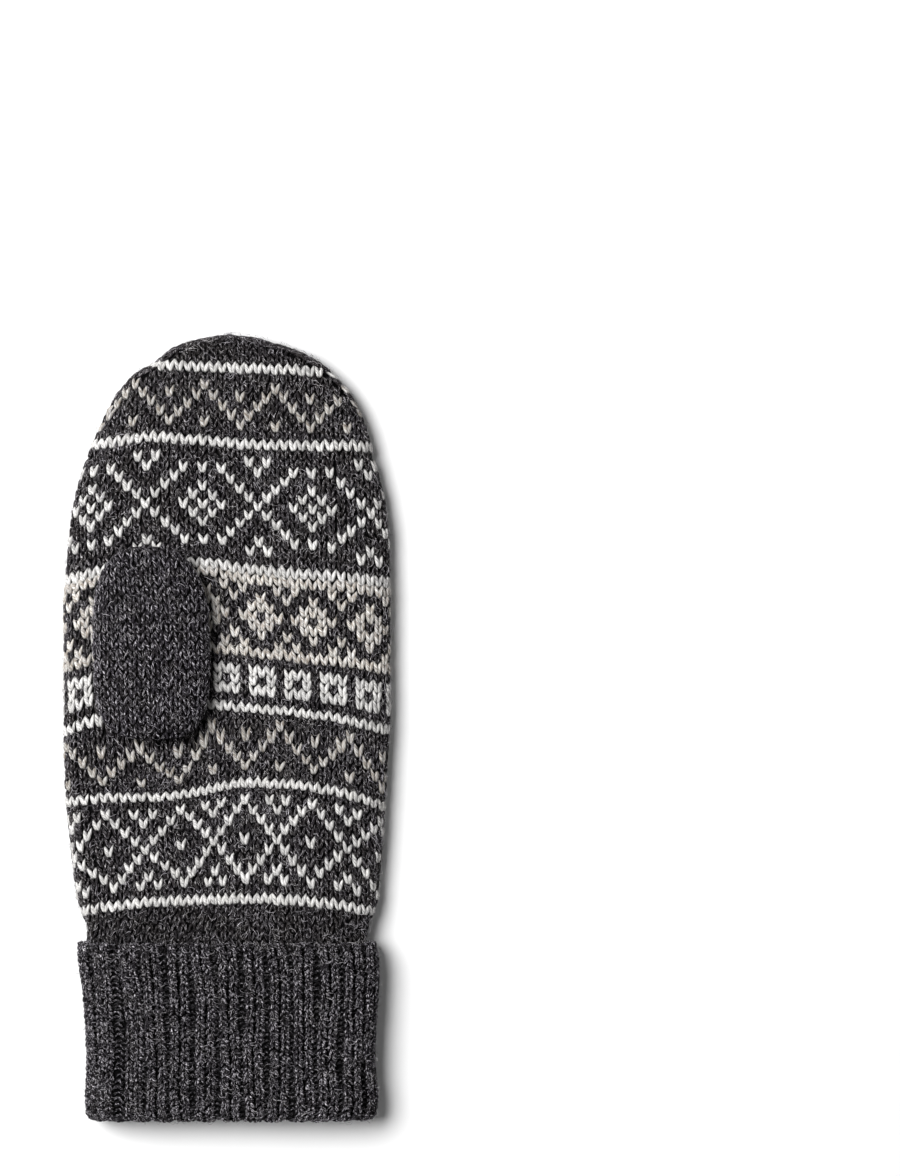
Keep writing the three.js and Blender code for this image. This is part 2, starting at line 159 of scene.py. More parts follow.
# Where a row of stitches lies along the hand, in millimetres, at eight places across it.
# Rows are counted down from the fingertips.
ROW_PLACES = np.array((-57.5, -41.5, -25.5, -9.4, 7.3, 23.7, 40.1, 56.5))
ROW_LINES = table(
    "row p0 p1 p2 p3 p4 p5 p6 p7",
    (-4.4, 138.9, 140.4, 141.0, 140.2, 139.7, 139.4, 138.7, 138.1),
    (-4, 137.8, 139.3, 139.9, 139.1, 138.7, 138.3, 137.7, 137.0),
    (-3, 135.7, 137.2, 137.8, 137.0, 136.5, 136.2, 135.5, 134.9),
    (-2, 132.7, 134.6, 135.4, 134.4, 133.8, 133.3, 132.5, 131.7),
    (-1, 129.8, 131.7, 132.5, 131.5, 130.9, 130.5, 129.7, 128.9),
    (0, 126.5, 128.6, 129.4, 128.3, 127.7, 127.2, 126.3, 125.4),
    (8, 99.4, 101.5, 103.3, 102.2, 100.8, 100.1, 100.1, 99.7),
    (20, 59.2, 62.9, 64.0, 64.3, 62.9, 62.0, 60.4, 58.6),
    (22, 52.4, 56.3, 58.4, 58.8, 56.3, 54.9, 53.6, 51.6),
    (34, 10.7, 15.0, 17.5, 18.5, 17.3, 15.3, 13.5, 10.3),
    (37, -1.4, 3.4, 3.0, 8.4, 7.0, 5.5, 3.2, -0.9),
    (39, -7.1, -4.8, -7.4, 0.9, 1.9, 0.4, -2.1, -7.0),
    (40.5, -11.4, -10.7, -12.7, -7.6, -4.6, -5.7, -8.3, -13.0),
    (43, -20.5, -18.9, -19.8, -16.0, -12.9, -13.8, -16.4, -21.5),
    (45, -26.9, -24.9, -24.8, -22.8, -19.4, -20.2, -23.0, -28.4),
    (47, -33.0, -31.2, -30.6, -28.0, -25.3, -26.1, -28.9, -34.2),
    (57, -67.3, -63.6, -62.0, -61.1, -60.6, -61.2, -63.0, -66.6),
    (61.7, -79.4, -78.0, -76.6, -75.9, -75.9, -76.2, -77.7, -79.1),
    (66, -93.5, -92.1, -90.7, -90.0, -90.0, -90.3, -91.7, -93.2),
)

# The knitting chart: each band's first row, then its rows as repeats of charcoal (.), ecru (E) and
# beige (B) stitches
ZIGZAG = ("....B...", "B..B.B..", "..B...B.", ".B.....B", "B...B...")
CHART = (
    (0, ("E",)),
    (2, ZIGZAG),
    (8, ("E",)),
    (10, (".....E.E....", "E.E...E...E.", "...E.....E..", "E...E...E...", ".E...E.E...E", "E.E...E...E.",
          ".E...E.E...E", "E...E...E...", "...E.....E..", "E.E...E...E.", ".....E.E....")),
    (22, ("E",)),
    (23, ("B",)),
    (24, ("..B.B.", "B..B..", "BB...B", ".BB.BB", "BB...B", "B..B..", "..B.B.")),
    (31, ("B",)),
    (33, (".EEE", ".E.E", ".EEE")),
    (37, ("E",)),
    (39, ZIGZAG),
    (45, ("E",)),
    (47, ("E..E.E..", ".E..E..E", "..E...E.", "...E.E..", "E...E...", "...E.E..", "..E...E.", ".E..E..E",
          "E..E.E..")),
    (57, ("E",)),
)
FIRST_ROW = -4
LAST_ROW = 63
FIRST_WALE_X = 30.8

# How far the wales lean from straight, in millimetres, at five places across the palm
LEAN_PLACES = np.array((-56, -47, -21, 5, 31, 50))
WALE_LEANS = table(
    "row p0 p1 p2 p3 p4 p5",
    (0, 0.4, 0.4, 0.8, 0, -0.7, 0),
    (5, 0.2, 0.2, 0.8, 0, -0.7, 0),
    (10, -0.9, -0.9, -0.9, 0, -0.4, 0.9),
    (15, -1.8, -1.8, -0.8, 0, 0, 1.8),
    (27, -0.6, -0.4, 0.8, 1.3, 0.3, 1.5),
    (34, 0.2, 0.9, 2.2, 1.6, 1.2, 1),
    (41, 0.8, 2.3, 4.2, 2.1, 0.9, 0.4),
    (51, 3.6, 5, 5.1, 1.8, -0.7, 0),
    (55, 5.6, 6.8, 6.2, 1.8, -0.7, 0.2),
    (59, 5, 6, 5, 1.4, -0.5, 0),
    (63, 3, 4, 3, 1, 0, 0),
)

# The run of one leg of a stitch, from its rounded bottom to its top under the row above: across in
# stitches, up in rows, out in millimetres from the cloth's face, then its half width and half depth
LEG_RUN = table(
    "across up out wide deep",
    (0.09, -0.64, -1.15, 0.34, 0.3),
    (0.12, -0.46, -0.62, 0.62, 0.5),
    (0.2, -0.14, -0.45, 0.7, 0.55),
    (0.305, 0.18, -0.5, 0.66, 0.52),
    (0.41, 0.45, -0.68, 0.44, 0.42),
    (0.485, 0.7, -1.05, 0.12, 0.12),
)
RIB_LEG_RUN = table(
    "across up out wide deep",
    (0.06, -0.62, -1.1, 0.3, 0.28),
    (0.12, -0.36, -0.56, 0.52, 0.46),
    (0.22, 0.02, -0.4, 0.6, 0.52),
    (0.33, 0.38, -0.52, 0.5, 0.44),
    (0.42, 0.74, -1.05, 0.2, 0.2),
)
# A purl stitch at the bottom of a groove: a short bar across it
BAR_RUN = table(
    "across up out wide deep",
    (-0.5, -0.5, -1.7, 0.34, 0.24),
    (-0.3, -0.08, -1.15, 0.5, 0.4),
    (0, 0.2, -1.0, 0.54, 0.42),
    (0.3, -0.08, -1.15, 0.5, 0.4),
    (0.5, -0.5, -1.7, 0.34, 0.24),
)
# The same in a groove that lies open
OPEN_BAR_RUN = table(
    "across up out wide deep",
    (-0.5, -0.7, -1.1, 0.34, 0.26),
    (-0.3, -0.35, -0.5, 0.42, 0.38),
    (-0.05, 0.2, -0.45, 0.46, 0.38),
    (0.2, 0.15, -0.5, 0.42, 0.38),
    (0.45, -0.3, -1.1, 0.34, 0.26),
)
LEG_SIDES = 6
RIB_ROW = 2.03
ROW_HEIGHT = 3.28
FLOOR_GAP = 0.03
RIB_WALE = 3.85
RIB_DROP = 0.6
MIDDLE_ROW = 22
# The first and last of the hand's patterned rows, and of those that hold its beige band
PATTERN_ROWS = (0, 57)
BEIGE_BAND_ROWS = (8, 37)
MM = 0.001


class MittenSizes(bpy.types.PropertyGroup):
    """Sizes of the knitting that a maker would change"""

    stitch_width: FloatProperty(
        name="Stitch width", description="From one wale to the next", default=0.0032236, unit="LENGTH")
    thumb_row: FloatProperty(
        name="Thumb row", description="From one row of the thumb to the next", default=0.00328, unit="LENGTH")
    yarn_fullness: FloatProperty(
        name="Yarn fullness", description="Thickness of the yarn against its usual one", default=1.0, min=0.5,
        max=1.5, subtype="FACTOR")
    unevenness: FloatProperty(
        name="Unevenness", description="How much the stitches differ from each other", default=1.0, min=0,
        max=2, subtype="FACTOR")
    hairs_per_stitch: FloatProperty(
        name="Hairs per stitch", description="Loose fibres that stand out of each stitch", default=3.0, min=0,
        max=8)
    hair_width: FloatProperty(
        name="Hair width", description="Width of a loose tuft of fibres", default=0.00009, unit="LENGTH")
    seed: IntProperty(name="Seed", description="Starts the run of chance for the stitches", default=7)


class MittenColours(bpy.types.PropertyGroup):
    """Colours of the three yarns and the floor"""

    charcoal_deep: FloatVectorProperty(
        name="Charcoal, deep", description="Darkest fibres of the charcoal yarn", default=(0.0062, 0.0054, 0.0066),
        min=0, max=1, subtype="COLOR")
    charcoal_body: FloatVectorProperty(
        name="Charcoal, body", description="Most fibres of the charcoal yarn", default=(0.0345, 0.0308, 0.0375), min=0,
        max=1, subtype="COLOR")
    charcoal_fleck: FloatVectorProperty(
        name="Charcoal, fleck", description="Light fibres of the charcoal yarn", default=(0.69, 0.66, 0.71), min=0,
        max=1, subtype="COLOR")
    ecru_body: FloatVectorProperty(
        name="Ecru", description="The light yarn", default=(0.735, 0.72, 0.708), min=0, max=1, subtype="COLOR")
    beige_body: FloatVectorProperty(
        name="Beige", description="The warm light yarn", default=(0.65, 0.634, 0.618), min=0, max=1, subtype="COLOR")
    floor: FloatVectorProperty(
        name="Floor", description="The pale floor", default=(0.93, 0.93, 0.93), min=0, max=1, subtype="COLOR")


def sizes():
    return bpy.context.scene.mitten_sizes


def colours():
    return bpy.context.scene.mitten_colours


# Reading the tables and the solids' sections


def read_column(rows, key, column, place):
    """A column read smoothly between its rows, without overshooting them."""
    keys, values = rows[key], rows[column]
    slope = np.diff(values) / np.diff(keys)
    before, after = slope[:-1], slope[1:]
    total = before + after
    inner = np.where(before * after > 0, 2 * before * after / np.where(total == 0, 1, total), 0)
    tangent = np.concatenate((slope[:1], inner, slope[-1:]))
    at = np.clip(place, keys[0], keys[-1])
    i = np.clip(np.searchsorted(keys, at, side="right") - 1, 0, len(keys) - 2)
    span = keys[i + 1] - keys[i]
    t = (at - keys[i]) / span
    bend = t * (1 - t) * ((1 - t) * tangent[i] - t * tangent[i + 1]) * span
    ease = t * t * (3 - 2 * t)
    return values[i] + (values[i + 1] - values[i]) * ease + bend


def smooth_step(value, low, high):
    share = np.clip((value - low) / (high - low), 0, 1)
    return share * share * (3 - 2 * share)


def mix(a, b, share):
    return a + (b - a) * share


def cuff_section(y, inset):
    up = (y - WRIST_Y) / CUFF_HEIGHT
    half = CUFF_WIDTH / 2
    return {
        "centre": half * read_column(CUFF_ROWS, "up", "centre", up),
        "half": half * read_column(CUFF_ROWS, "up", "half", up) - inset,
        "rim": CUFF_RIM_HEIGHT + 0 * y,
        "top": CUFF_THICKNESS - inset + 0 * y,
        "base": inset + 0 * y,
        "fullness": CUFF_FULLNESS + 0 * y,
    }


def hand_section(y):
    along = (y - CUFF_EDGE_Y) / HAND_LENGTH
    half = HAND_WIDTH / 2
    neck = cuff_section(np.minimum(y, CUFF_EDGE_Y), NECK_INSET)
    opened = smooth_step(y, CUFF_EDGE_Y, CUFF_EDGE_Y + NECK_TAPER)
    palm = {
        "centre": half * read_column(HAND_ROWS, "along", "centre", along),
        "half": half * read_column(HAND_ROWS, "along", "half", along),
        "rim": HAND_RIM_HEIGHT,
        "top": HAND_RIM_HEIGHT
        + (PALM_HEIGHT - HAND_RIM_HEIGHT) * read_column(HAND_ROWS, "along", "rise", along),
        "base": HAND_RIM_HEIGHT * (1 - read_column(HAND_ROWS, "along", "sink", along)),
        "fullness": HAND_FULLNESS,
    }
    return {name: mix(neck[name], palm[name], opened) for name in palm}


def thumb_section(along):
    rise = read_column(THUMB_ROWS, "along", "rise", along) * THUMB_THICKNESS / 2
    rim = DRAPE_GAP + THUMB_THICKNESS / 2
    return {
        "centre": THUMB_X + read_column(THUMB_ROWS, "along", "centre", along) * THUMB_WIDTH / 2,
        "half": read_column(THUMB_ROWS, "along", "half", along) * THUMB_WIDTH / 2,
        "rim": rim + 0 * along,
        "top": rim + rise,
        "base": rim - rise,
        "fullness": THUMB_FULLNESS + 0 * along,
    }


def dome_share(across, fullness):
    return np.sqrt(np.maximum(0, 1 - np.abs(across) ** fullness))


def palm_swell(x, y):
    along = (y - CUFF_EDGE_Y) / HAND_LENGTH
    across = x / (HAND_WIDTH / 2)
    rise = 0
    for i in range(len(PALM_SWELLS["rise"])):
        swell = {name: column[i] for name, column in PALM_SWELLS.items()}
        a = (across - swell["across"]) / swell["reach_across"]
        b = (along - swell["along"]) / swell["reach_along"]
        rise = rise + swell["rise"] * np.exp(-(a * a + b * b))
    return rise * PALM_HEIGHT * smooth_step(y, CUFF_EDGE_Y, CUFF_EDGE_Y + NECK_TAPER)


def palm_top(x, y):
    section = hand_section(y)
    across = np.clip((x - section["centre"]) / np.maximum(section["half"], 1e-6), -1, 1)
    dome = dome_share(across, section["fullness"])
    return section["rim"] + (section["top"] - section["rim"] + palm_swell(x, y)) * dome


ROUND_STEPS = 24
ARC_SAMPLES = 90


def section_rings(y, section, middle, lift_of):
    """Rings of points round sections, evenly spaced from the underside's middle over the top and back."""
    half = np.maximum(section["half"], 1e-6)[:, None]
    centre = section["centre"][:, None]
    start = np.clip((middle - section["centre"]) / half[:, 0], -0.8, 0.8)
    sweep = (np.arcsin(start) * 2 / np.pi)[:, None]
    t = np.linspace(0, 1, ARC_SAMPLES)[None, :]
    rings = []
    for low, high, over in ((sweep, -1, False), (-1, sweep, True), (sweep, 1, True), (1, sweep, False)):
        across = np.sin(mix(low, high, t) * np.pi / 2)
        x = centre + half * across
        rim = section["rim"][:, None]
        if over:
            dome = dome_share(across, section["fullness"][:, None])
            z = mix(rim, section["top"][:, None], dome)
        else:
            dome = 0 * across
            press = BASE_PRESS * np.sqrt(np.maximum(0, 1 - np.abs(across) ** BASE_FULLNESS))
            z = rim - (rim - section["base"][:, None]) * np.minimum(1, press)
        z = z + lift_of(x, y[:, None] + 0 * x, dome)
        run = np.concatenate((0 * y[:, None], np.cumsum(np.hypot(np.diff(x), np.diff(z)), axis=1)), axis=1)
        quarter = np.empty((len(y), ROUND_STEPS, 2))
        for j in range(len(y)):
            goal = run[j, -1] * np.arange(ROUND_STEPS) / ROUND_STEPS
            quarter[j, :, 0] = np.interp(goal, run[j], x[j])
            quarter[j, :, 1] = np.interp(goal, run[j], z[j])
        rings.append(quarter)
    rings = np.concatenate(rings, axis=1)
    rings = np.concatenate((rings, rings[:, :1]), axis=1)
    across_y = np.repeat(y[:, None], rings.shape[1], axis=1)
    return np.stack((rings[:, :, 0], across_y, rings[:, :, 1]), axis=2)


class Skin:
    """The face of a knitted tube. A place on it is how far along it lies, and how far round: 0 at the
    middle of the top, 1 at the +X rim, -1 at the other, 2 and -2 at the middle of the underside."""

    def __init__(self, along, points, row_place, lean=None):
        self.along = along
        self.points = points
        self.row_place = row_place
        self.lean = lean or (lambda row, base: 0)
        run = np.linalg.norm(np.diff(points, axis=1), axis=2)
        self.quarters = np.maximum(run.reshape(len(along), 4, ROUND_STEPS).sum(axis=2), 1e-3)
        wide = np.concatenate((points[:, -2:-1], points, points[:, 1:2]), axis=1)
        around = wide[:, 2:] - wide[:, :-2]
        normal = np.cross(around, np.gradient(points, axis=0))
        size = np.linalg.norm(normal, axis=2, keepdims=True)
        normal = normal / np.maximum(size, 1e-9)
        weak = size[:, :, 0].max(axis=1) < 1e-6
        normal[weak] = (0, 1 if points[-1, 0, 1] > points[0, 0, 1] else -1, 0)
        self.normals = normal

    def read(self, grid, along, around):
        j = np.clip(np.interp(along, self.along, np.arange(len(self.along))), 0, len(self.along) - 1.0001)
        i = np.mod(around + 2, 4) / 4 * 4 * ROUND_STEPS
        j0 = j.astype(int)
        i0 = np.minimum(i.astype(int), 4 * ROUND_STEPS - 1)
        v = (j - j0)[..., None]
        u = (i - i0)[..., None]
        low = mix(grid[j0, i0], grid[j0, i0 + 1], u)
        high = mix(grid[j0 + 1, i0], grid[j0 + 1, i0 + 1], u)
        return mix(low, high, v)

    def lengths(self, along):
        return [np.interp(along, self.along, self.quarters[:, k]) for k in range(4)]

    def around(self, along, base, kind, across):
        """How far round a place lies. base: millimetres from the middle of the top (kind 0) or of the
        underside (kind 1), or a place round the skin (kind 2). across: millimetres further round."""
        under_left, top_left, top_right, under_right = self.lengths(along)
        s = base + across
        over = np.where(
            s >= 0,
            np.where(s < top_right, s / top_right, 1 + (s - top_right) / under_right),
            np.where(-s < top_left, s / top_left, -1 + (s + top_left) / under_left),
        )
        d = base - across
        below = np.where(
            d >= 0,
            np.where(d < under_right, 2 - d / under_right, 1 - (d - under_right) / top_right),
            np.where(-d < under_left, -2 - d / under_left, -1 - (d + under_left) / top_left),
        )
        wrapped = np.mod(base + 2, 4) - 2
        length = np.select(
            (wrapped < -1, wrapped < 0, wrapped < 1), (under_left, top_left, top_right), under_right)
        free = base + across / length
        return np.select((kind == 0, kind == 1), (over, below), free)

    def place(self, row, base, kind, across, out):
        """Points of the cloth: row, how far round, and millimetres out of its face."""
        across = across + np.where(kind == 0, self.lean(row, base), 0)
        along = self.row_place(row, np.clip(np.where(kind == 2, 0, base), -56, 56))
        for _ in range(2):
            around = self.around(along, base, kind, across)
            point = self.read(self.points, along, around)
            along = self.row_place(row, point[..., 0])
        around = self.around(along, base, kind, across)
        point = self.read(self.points, along, around)
        point = point + self.read(self.normals, along, around) * out[..., None]
        point[..., 2] = np.maximum(point[..., 2], FLOOR_GAP)
        return point


def grid_reader(grid, rows, places):
    """A function that reads a grid of rows by places, both evenly spaced."""
    row_step, place_step = rows[1] - rows[0], places[1] - places[0]

    def read(row, x):
        r = np.clip((row - rows[0]) / row_step, 0, len(rows) - 1.001)
        c = np.clip((x - places[0]) / place_step, 0, len(places) - 1.001)
        r0, c0 = r.astype(int), c.astype(int)
        u, v = c - c0, r - r0
        low = mix(grid[r0, c0], grid[r0, c0 + 1], u)
        high = mix(grid[r0 + 1, c0], grid[r0 + 1, c0 + 1], u)
        return mix(low, high, v)

    return read


def row_grid(lines, where):
    """A table of rows by places, read on a fine grid."""
    rows = np.arange(-4.4, 66.01, 0.2)
    places = np.arange(-62, 62.1, 2)
    columns = np.array([read_column(lines, "row", f"p{k}", rows) for k in range(len(where))])
    grid = np.array([
        read_column({"x": where, "y": column}, "x", "y", places) for column in columns.T])
    return grid_reader(grid, rows, places)


def hand_skin():
    row_line = row_grid(ROW_LINES, ROW_PLACES)
    lean = row_grid(WALE_LEANS, LEAN_PLACES)

    def row_place(row, x):
        return np.minimum(row_line(row, x), FINGERTIP_Y - 0.3)

    tip = FINGERTIP_Y - 44 * np.linspace(1, 0, 60) ** 2
    along = np.concatenate((np.linspace(NECK_END_Y, tip[0], 100)[:-1], tip))
    points = section_rings(along, hand_section(along), 0, lambda x, y, dome: palm_swell(x, y) * dome)
    return Skin(along, points, row_place, lean)


def thumb_skin(row_height):
    shares = (1 - np.cos(np.linspace(0, np.pi, 90))) / 2
    y = THUMB_ROOT_Y + THUMB_LENGTH * shares
    section = thumb_section(shares)
    points = section_rings(y, section, section["centre"], lambda x, y, dome: palm_top(x, y))
    top = points[:, 2 * ROUND_STEPS]
    run = np.concatenate(([0], np.cumsum(np.linalg.norm(np.diff(top, axis=0), axis=1))))
    return Skin(run, points, lambda row, x: run[-1] - row * row_height)


CUFF_EDGE_ROUND = 1.1


def cuff_skin():
    """The cuff's face: from inside its free edge, down the outside and round the fold into the wrist."""
    edge_turn = np.linspace(0, np.pi / 2, 8)
    fold_turn = np.linspace(0, np.pi, 16)
    edge = CUFF_EDGE_Y - CUFF_EDGE_ROUND
    fold = WRIST_Y + CUFF_LAYERS / 2
    back = np.linspace(edge - 4, edge, 4)
    y = np.concatenate((
        back[:-1],
        edge + CUFF_EDGE_ROUND * np.sin(edge_turn),
        (edge + CUFF_EDGE_ROUND * np.cos(edge_turn))[1:],
        np.linspace(edge, fold, 60)[1:-1],
        fold - CUFF_LAYERS / 2 * np.sin(fold_turn),
        np.linspace(fold, NECK_END_Y - 0.5, 50)[1:],
    ))
    inset = np.concatenate((
        np.full(3, 2 * CUFF_EDGE_ROUND),
        CUFF_EDGE_ROUND * (1 + np.cos(edge_turn)),
        (CUFF_EDGE_ROUND * (1 - np.sin(edge_turn)))[1:],
        np.zeros(58),
        CUFF_LAYERS / 2 * (1 - np.cos(fold_turn)),
        np.full(49, CUFF_LAYERS),
    ))
    section = cuff_section(y, inset)
    points = section_rings(y, section, section["centre"], lambda x, y, dome: 0)
    run = np.concatenate(([0], np.cumsum(np.hypot(np.diff(y), np.diff(inset)))))
    crest = run[10]
    points = points[:, ::-1]
    return Skin(run - crest, points, lambda row, x: row * RIB_ROW)


# Meshes from stitches


def leg_form(run, pitch, row):
    """One leg of a stitch as rings along its run: each corner's middle and its offset, quads, and for
    each quad's corners the place along and round the yarn, in millimetres and as shares."""
    middle = np.stack((run["across"] * pitch, run["up"] * row, run["out"]), axis=1)
    tangent = np.gradient(middle, axis=0)
    tangent /= np.linalg.norm(tangent, axis=1, keepdims=True)
    up = np.array((0, 0, 1)) - tangent * tangent[:, 2:]
    up /= np.linalg.norm(up, axis=1, keepdims=True)
    side = np.cross(tangent, up)
    turn = 2 * np.pi * np.arange(LEG_SIDES) / LEG_SIDES
    offset = (
        side[:, None] * (np.cos(turn)[None, :] * run["wide"][:, None])[..., None]
        + up[:, None] * (np.sin(turn)[None, :] * run["deep"][:, None])[..., None]
    )
    count = len(middle)
    length = np.concatenate(([0], np.cumsum(np.linalg.norm(np.diff(middle, axis=0), axis=1))))
    quads, yarn, share = [], [], []
    for r in range(count - 1):
        for i in range(LEG_SIDES):
            j = (i + 1) % LEG_SIDES
            quads.append((r * LEG_SIDES + i, r * LEG_SIDES + j, (r + 1) * LEG_SIDES + j, (r + 1) * LEG_SIDES + i))
            a, b = i / LEG_SIDES, (i + 1) / LEG_SIDES
            yarn.append([(length[r], a * YARN_GIRTH), (length[r], b * YARN_GIRTH),
                         (length[r + 1], b * YARN_GIRTH), (length[r + 1], a * YARN_GIRTH)])
            u, v = 0.06 + 0.88 * r / (count - 1), 0.06 + 0.88 * (r + 1) / (count - 1)
            share.append([(u, 0.05 + 0.9 * a), (u, 0.05 + 0.9 * b), (v, 0.05 + 0.9 * b), (v, 0.05 + 0.9 * a)])
    last = (count - 1) * LEG_SIDES
    for start, flip, at, u in ((0, True, length[0], 0.03), (last, False, length[-1], 0.97)):
        for a, b, c, d in ((0, 1, 2, 3), (3, 4, 5, 0)):
            quad = [start + k for k in (a, b, c, d)]
            quads.append(tuple(reversed(quad)) if flip else tuple(quad))
            yarn.append([(at, 0.2 * k) for k in range(4)])
            share.append([(u + s, 0.1 + 0.1 * a + t) for s, t in ((0, 0), (0.02, 0), (0.02, 0.2), (0, 0.2))])
    centre = np.repeat(middle, LEG_SIDES, axis=0)
    return {
        "middle": centre,
        "offset": offset.reshape(-1, 3),
        "quads": np.array(quads),
        "yarn": np.array(yarn),
        "share": np.array(share),
        # depth: 0 deep in the cloth, 1 at the leg's crest; the shader darkens the colour by it, as painted shade
        "depth": np.clip((centre[:, 2] + offset.reshape(-1, 3)[:, 2] + 1.5) / 1.5, 0, 1),
    }


def pick_stations(run, stations):
    return {name: column[list(stations)] for name, column in run.items()}


def stitch_form(run, pitch, row):
    """Both legs of a stitch."""
    leg = leg_form(run, pitch, row)
    mirror = np.array((-1, 1, 1))
    count = len(leg["middle"])
    other = leg["quads"][:, ::-1] + count
    form = {
        "middle": np.concatenate((leg["middle"], leg["middle"] * mirror)),
        "offset": np.concatenate((leg["offset"], leg["offset"] * mirror)),
        "quads": np.concatenate((leg["quads"], other)),
        "yarn": np.concatenate((leg["yarn"], leg["yarn"][:, ::-1] * (1, -1))),
        "share": np.concatenate((leg["share"], leg["share"][:, ::-1])),
        "depth": np.concatenate((leg["depth"], leg["depth"])),
        "leg": np.repeat((0, 1), count),
        "quad_leg": np.repeat((0, 1), len(leg["quads"])),
        "row": row,
    }
    return form


class Stitches:
    """Where stitches lie on a skin: row, base, kind as Skin.around reads them, and a rib's place."""

    def __init__(self, row, base, kind, rib=None):
        self.row = np.asarray(row, float)
        self.base = np.asarray(base, float)
        self.kind = np.asarray(kind, int)
        self.rib = np.zeros(len(self.row)) if rib is None else np.asarray(rib, float)

    def pick(self, keep):
        return Stitches(self.row[keep], self.base[keep], self.kind[keep], self.rib[keep])

    def __len__(self):
        return len(self.row)


def knit(skin, stitches, form, chance, upside_down=False, full=1.0, rib_drop=0.0, loose=1.0, shades=(0.0, 1.0)):
    """Points and quads of the stitches laid on the skin, with their yarn coordinates. full: how thick
    the yarn is against its usual thickness. rib_drop: how far a rib's sides lie below its middle.
    loose: how uneven the stitches are against the others. shades: from the dullest to the brightest."""
    count = len(stitches)
    uneven = sizes().unevenness * loose
    fat = sizes().yarn_fullness
    corners = len(form["middle"])

    def vary(spread, shape=None):
        return np.clip(chance.normal(0, spread * uneven, shape or (count, 1)), -2.2 * spread, 2.2 * spread)

    legs = form["leg"][None, :]
    thick = 1 + vary(0.08, (count, 2))[np.arange(count)[:, None], legs]
    thick = thick * fat * full
    reach = 1 + vary(0.06, (count, 2))[np.arange(count)[:, None], legs]
    across = (form["middle"][None, :, 0] * (1 + vary(0.07)) + form["offset"][None, :, 0] * thick)
    up = (form["middle"][None, :, 1] * reach + form["offset"][None, :, 1] * thick) / form["row"]
    out = form["middle"][None, :, 2] + vary(0.07) + form["offset"][None, :, 2] * thick
    across = across + vary(0.1) + vary(0.16) * up
    up = up + vary(0.045)
    up = up + vary(0.05) * across / 1.6
    drop = rib_drop * np.abs(np.clip(stitches.rib[:, None] + across / RIB_WALE, -1.1, 1.1)) ** 3
    if upside_down:
        up = -up
    row = stitches.row[:, None] - up
    base = np.repeat(stitches.base[:, None], corners, axis=1)
    kind = np.repeat(stitches.kind[:, None], corners, axis=1)
    points = skin.place(row, base, kind, across, out - drop).reshape(-1, 3)
    quads = (form["quads"][None] + (np.arange(count) * corners)[:, None, None]).reshape(-1, 4)
    shift = chance.uniform(0, 400, (count, 2, 2))[:, form["quad_leg"]]
    yarn = (form["yarn"][None] + shift[:, :, None, :]).reshape(-1, 2)
    side = math.ceil(math.sqrt(2 * count))
    cell = np.arange(2 * count).reshape(count, 2)[:, form["quad_leg"]]
    corner = np.stack((cell % side, cell // side), axis=2)[:, :, None, :]
    sheet = ((form["share"][None] + corner) / side).reshape(-1, 2)
    depth = np.repeat(form["depth"][None], count, axis=0).reshape(-1)
    shade = np.repeat(chance.uniform(*shades, (count, 1)), corners, axis=1).reshape(-1)
    return {"points": points, "quads": quads, "yarn": yarn, "sheet": sheet, "depth": depth, "shade": shade}


def signed_volume(points, quads):
    a, b, c, d = (points[quads[:, k]] for k in range(4))
    return float((np.einsum("ij,ij->i", a, np.cross(b, c)) + np.einsum("ij,ij->i", a, np.cross(c, d))).sum())


def new_mesh(name, parts, material):
    """One mesh object in metres from parts with points, quads, yarn and sheet coordinates."""
    points = np.concatenate([part["points"] for part in parts])
    starts = np.cumsum([0] + [len(part["points"]) for part in parts[:-1]])
    quads = np.concatenate([part["quads"] + start for part, start in zip(parts, starts)])
    yarn = np.concatenate([part["yarn"] for part in parts])
    depth = np.concatenate([part["depth"] for part in parts])
    shade = np.concatenate([part["shade"] for part in parts])
    pages = math.ceil(math.sqrt(len(parts)))
    sheet = np.concatenate([
        (part["sheet"] + (k % pages, k // pages)) / pages for k, part in enumerate(parts)])
    if "loose" not in parts[0] and signed_volume(points, quads) < 0:
        quads = quads[:, ::-1]
        yarn = yarn.reshape(-1, 4, 2)[:, ::-1].reshape(-1, 2)
        sheet = sheet.reshape(-1, 4, 2)[:, ::-1].reshape(-1, 2)
    mesh = bpy.data.meshes.new(name)
    mesh.vertices.add(len(points))
    mesh.vertices.foreach_set("co", (points * MM).astype(np.float32).ravel())
    mesh.loops.add(quads.size)
    mesh.loops.foreach_set("vertex_index", quads.astype(np.int32).ravel())
    mesh.polygons.add(len(quads))
    mesh.polygons.foreach_set("loop_start", np.arange(0, quads.size, 4, dtype=np.int32))
    mesh.polygons.foreach_set("use_smooth", np.ones(len(quads), bool))
    mesh.update(calc_edges=True)
    for layer, values in (("YarnUV", yarn), ("OFBake", sheet)):
        mesh.uv_layers.new(name=layer).data.foreach_set("uv", values.astype(np.float32).ravel())
    # Depth drives the painted shade deep in the cloth; Shade is each stitch's random tone
    for attribute, values in (("Depth", depth), ("Shade", shade)):
        mesh.attributes.new(attribute, "FLOAT", "POINT").data.foreach_set("value", values.astype(np.float32))
    mesh.materials.append(material)
    piece = bpy.data.objects.new(name, mesh)
    bpy.context.scene.collection.objects.link(piece)
    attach(piece, "root")
    return piece


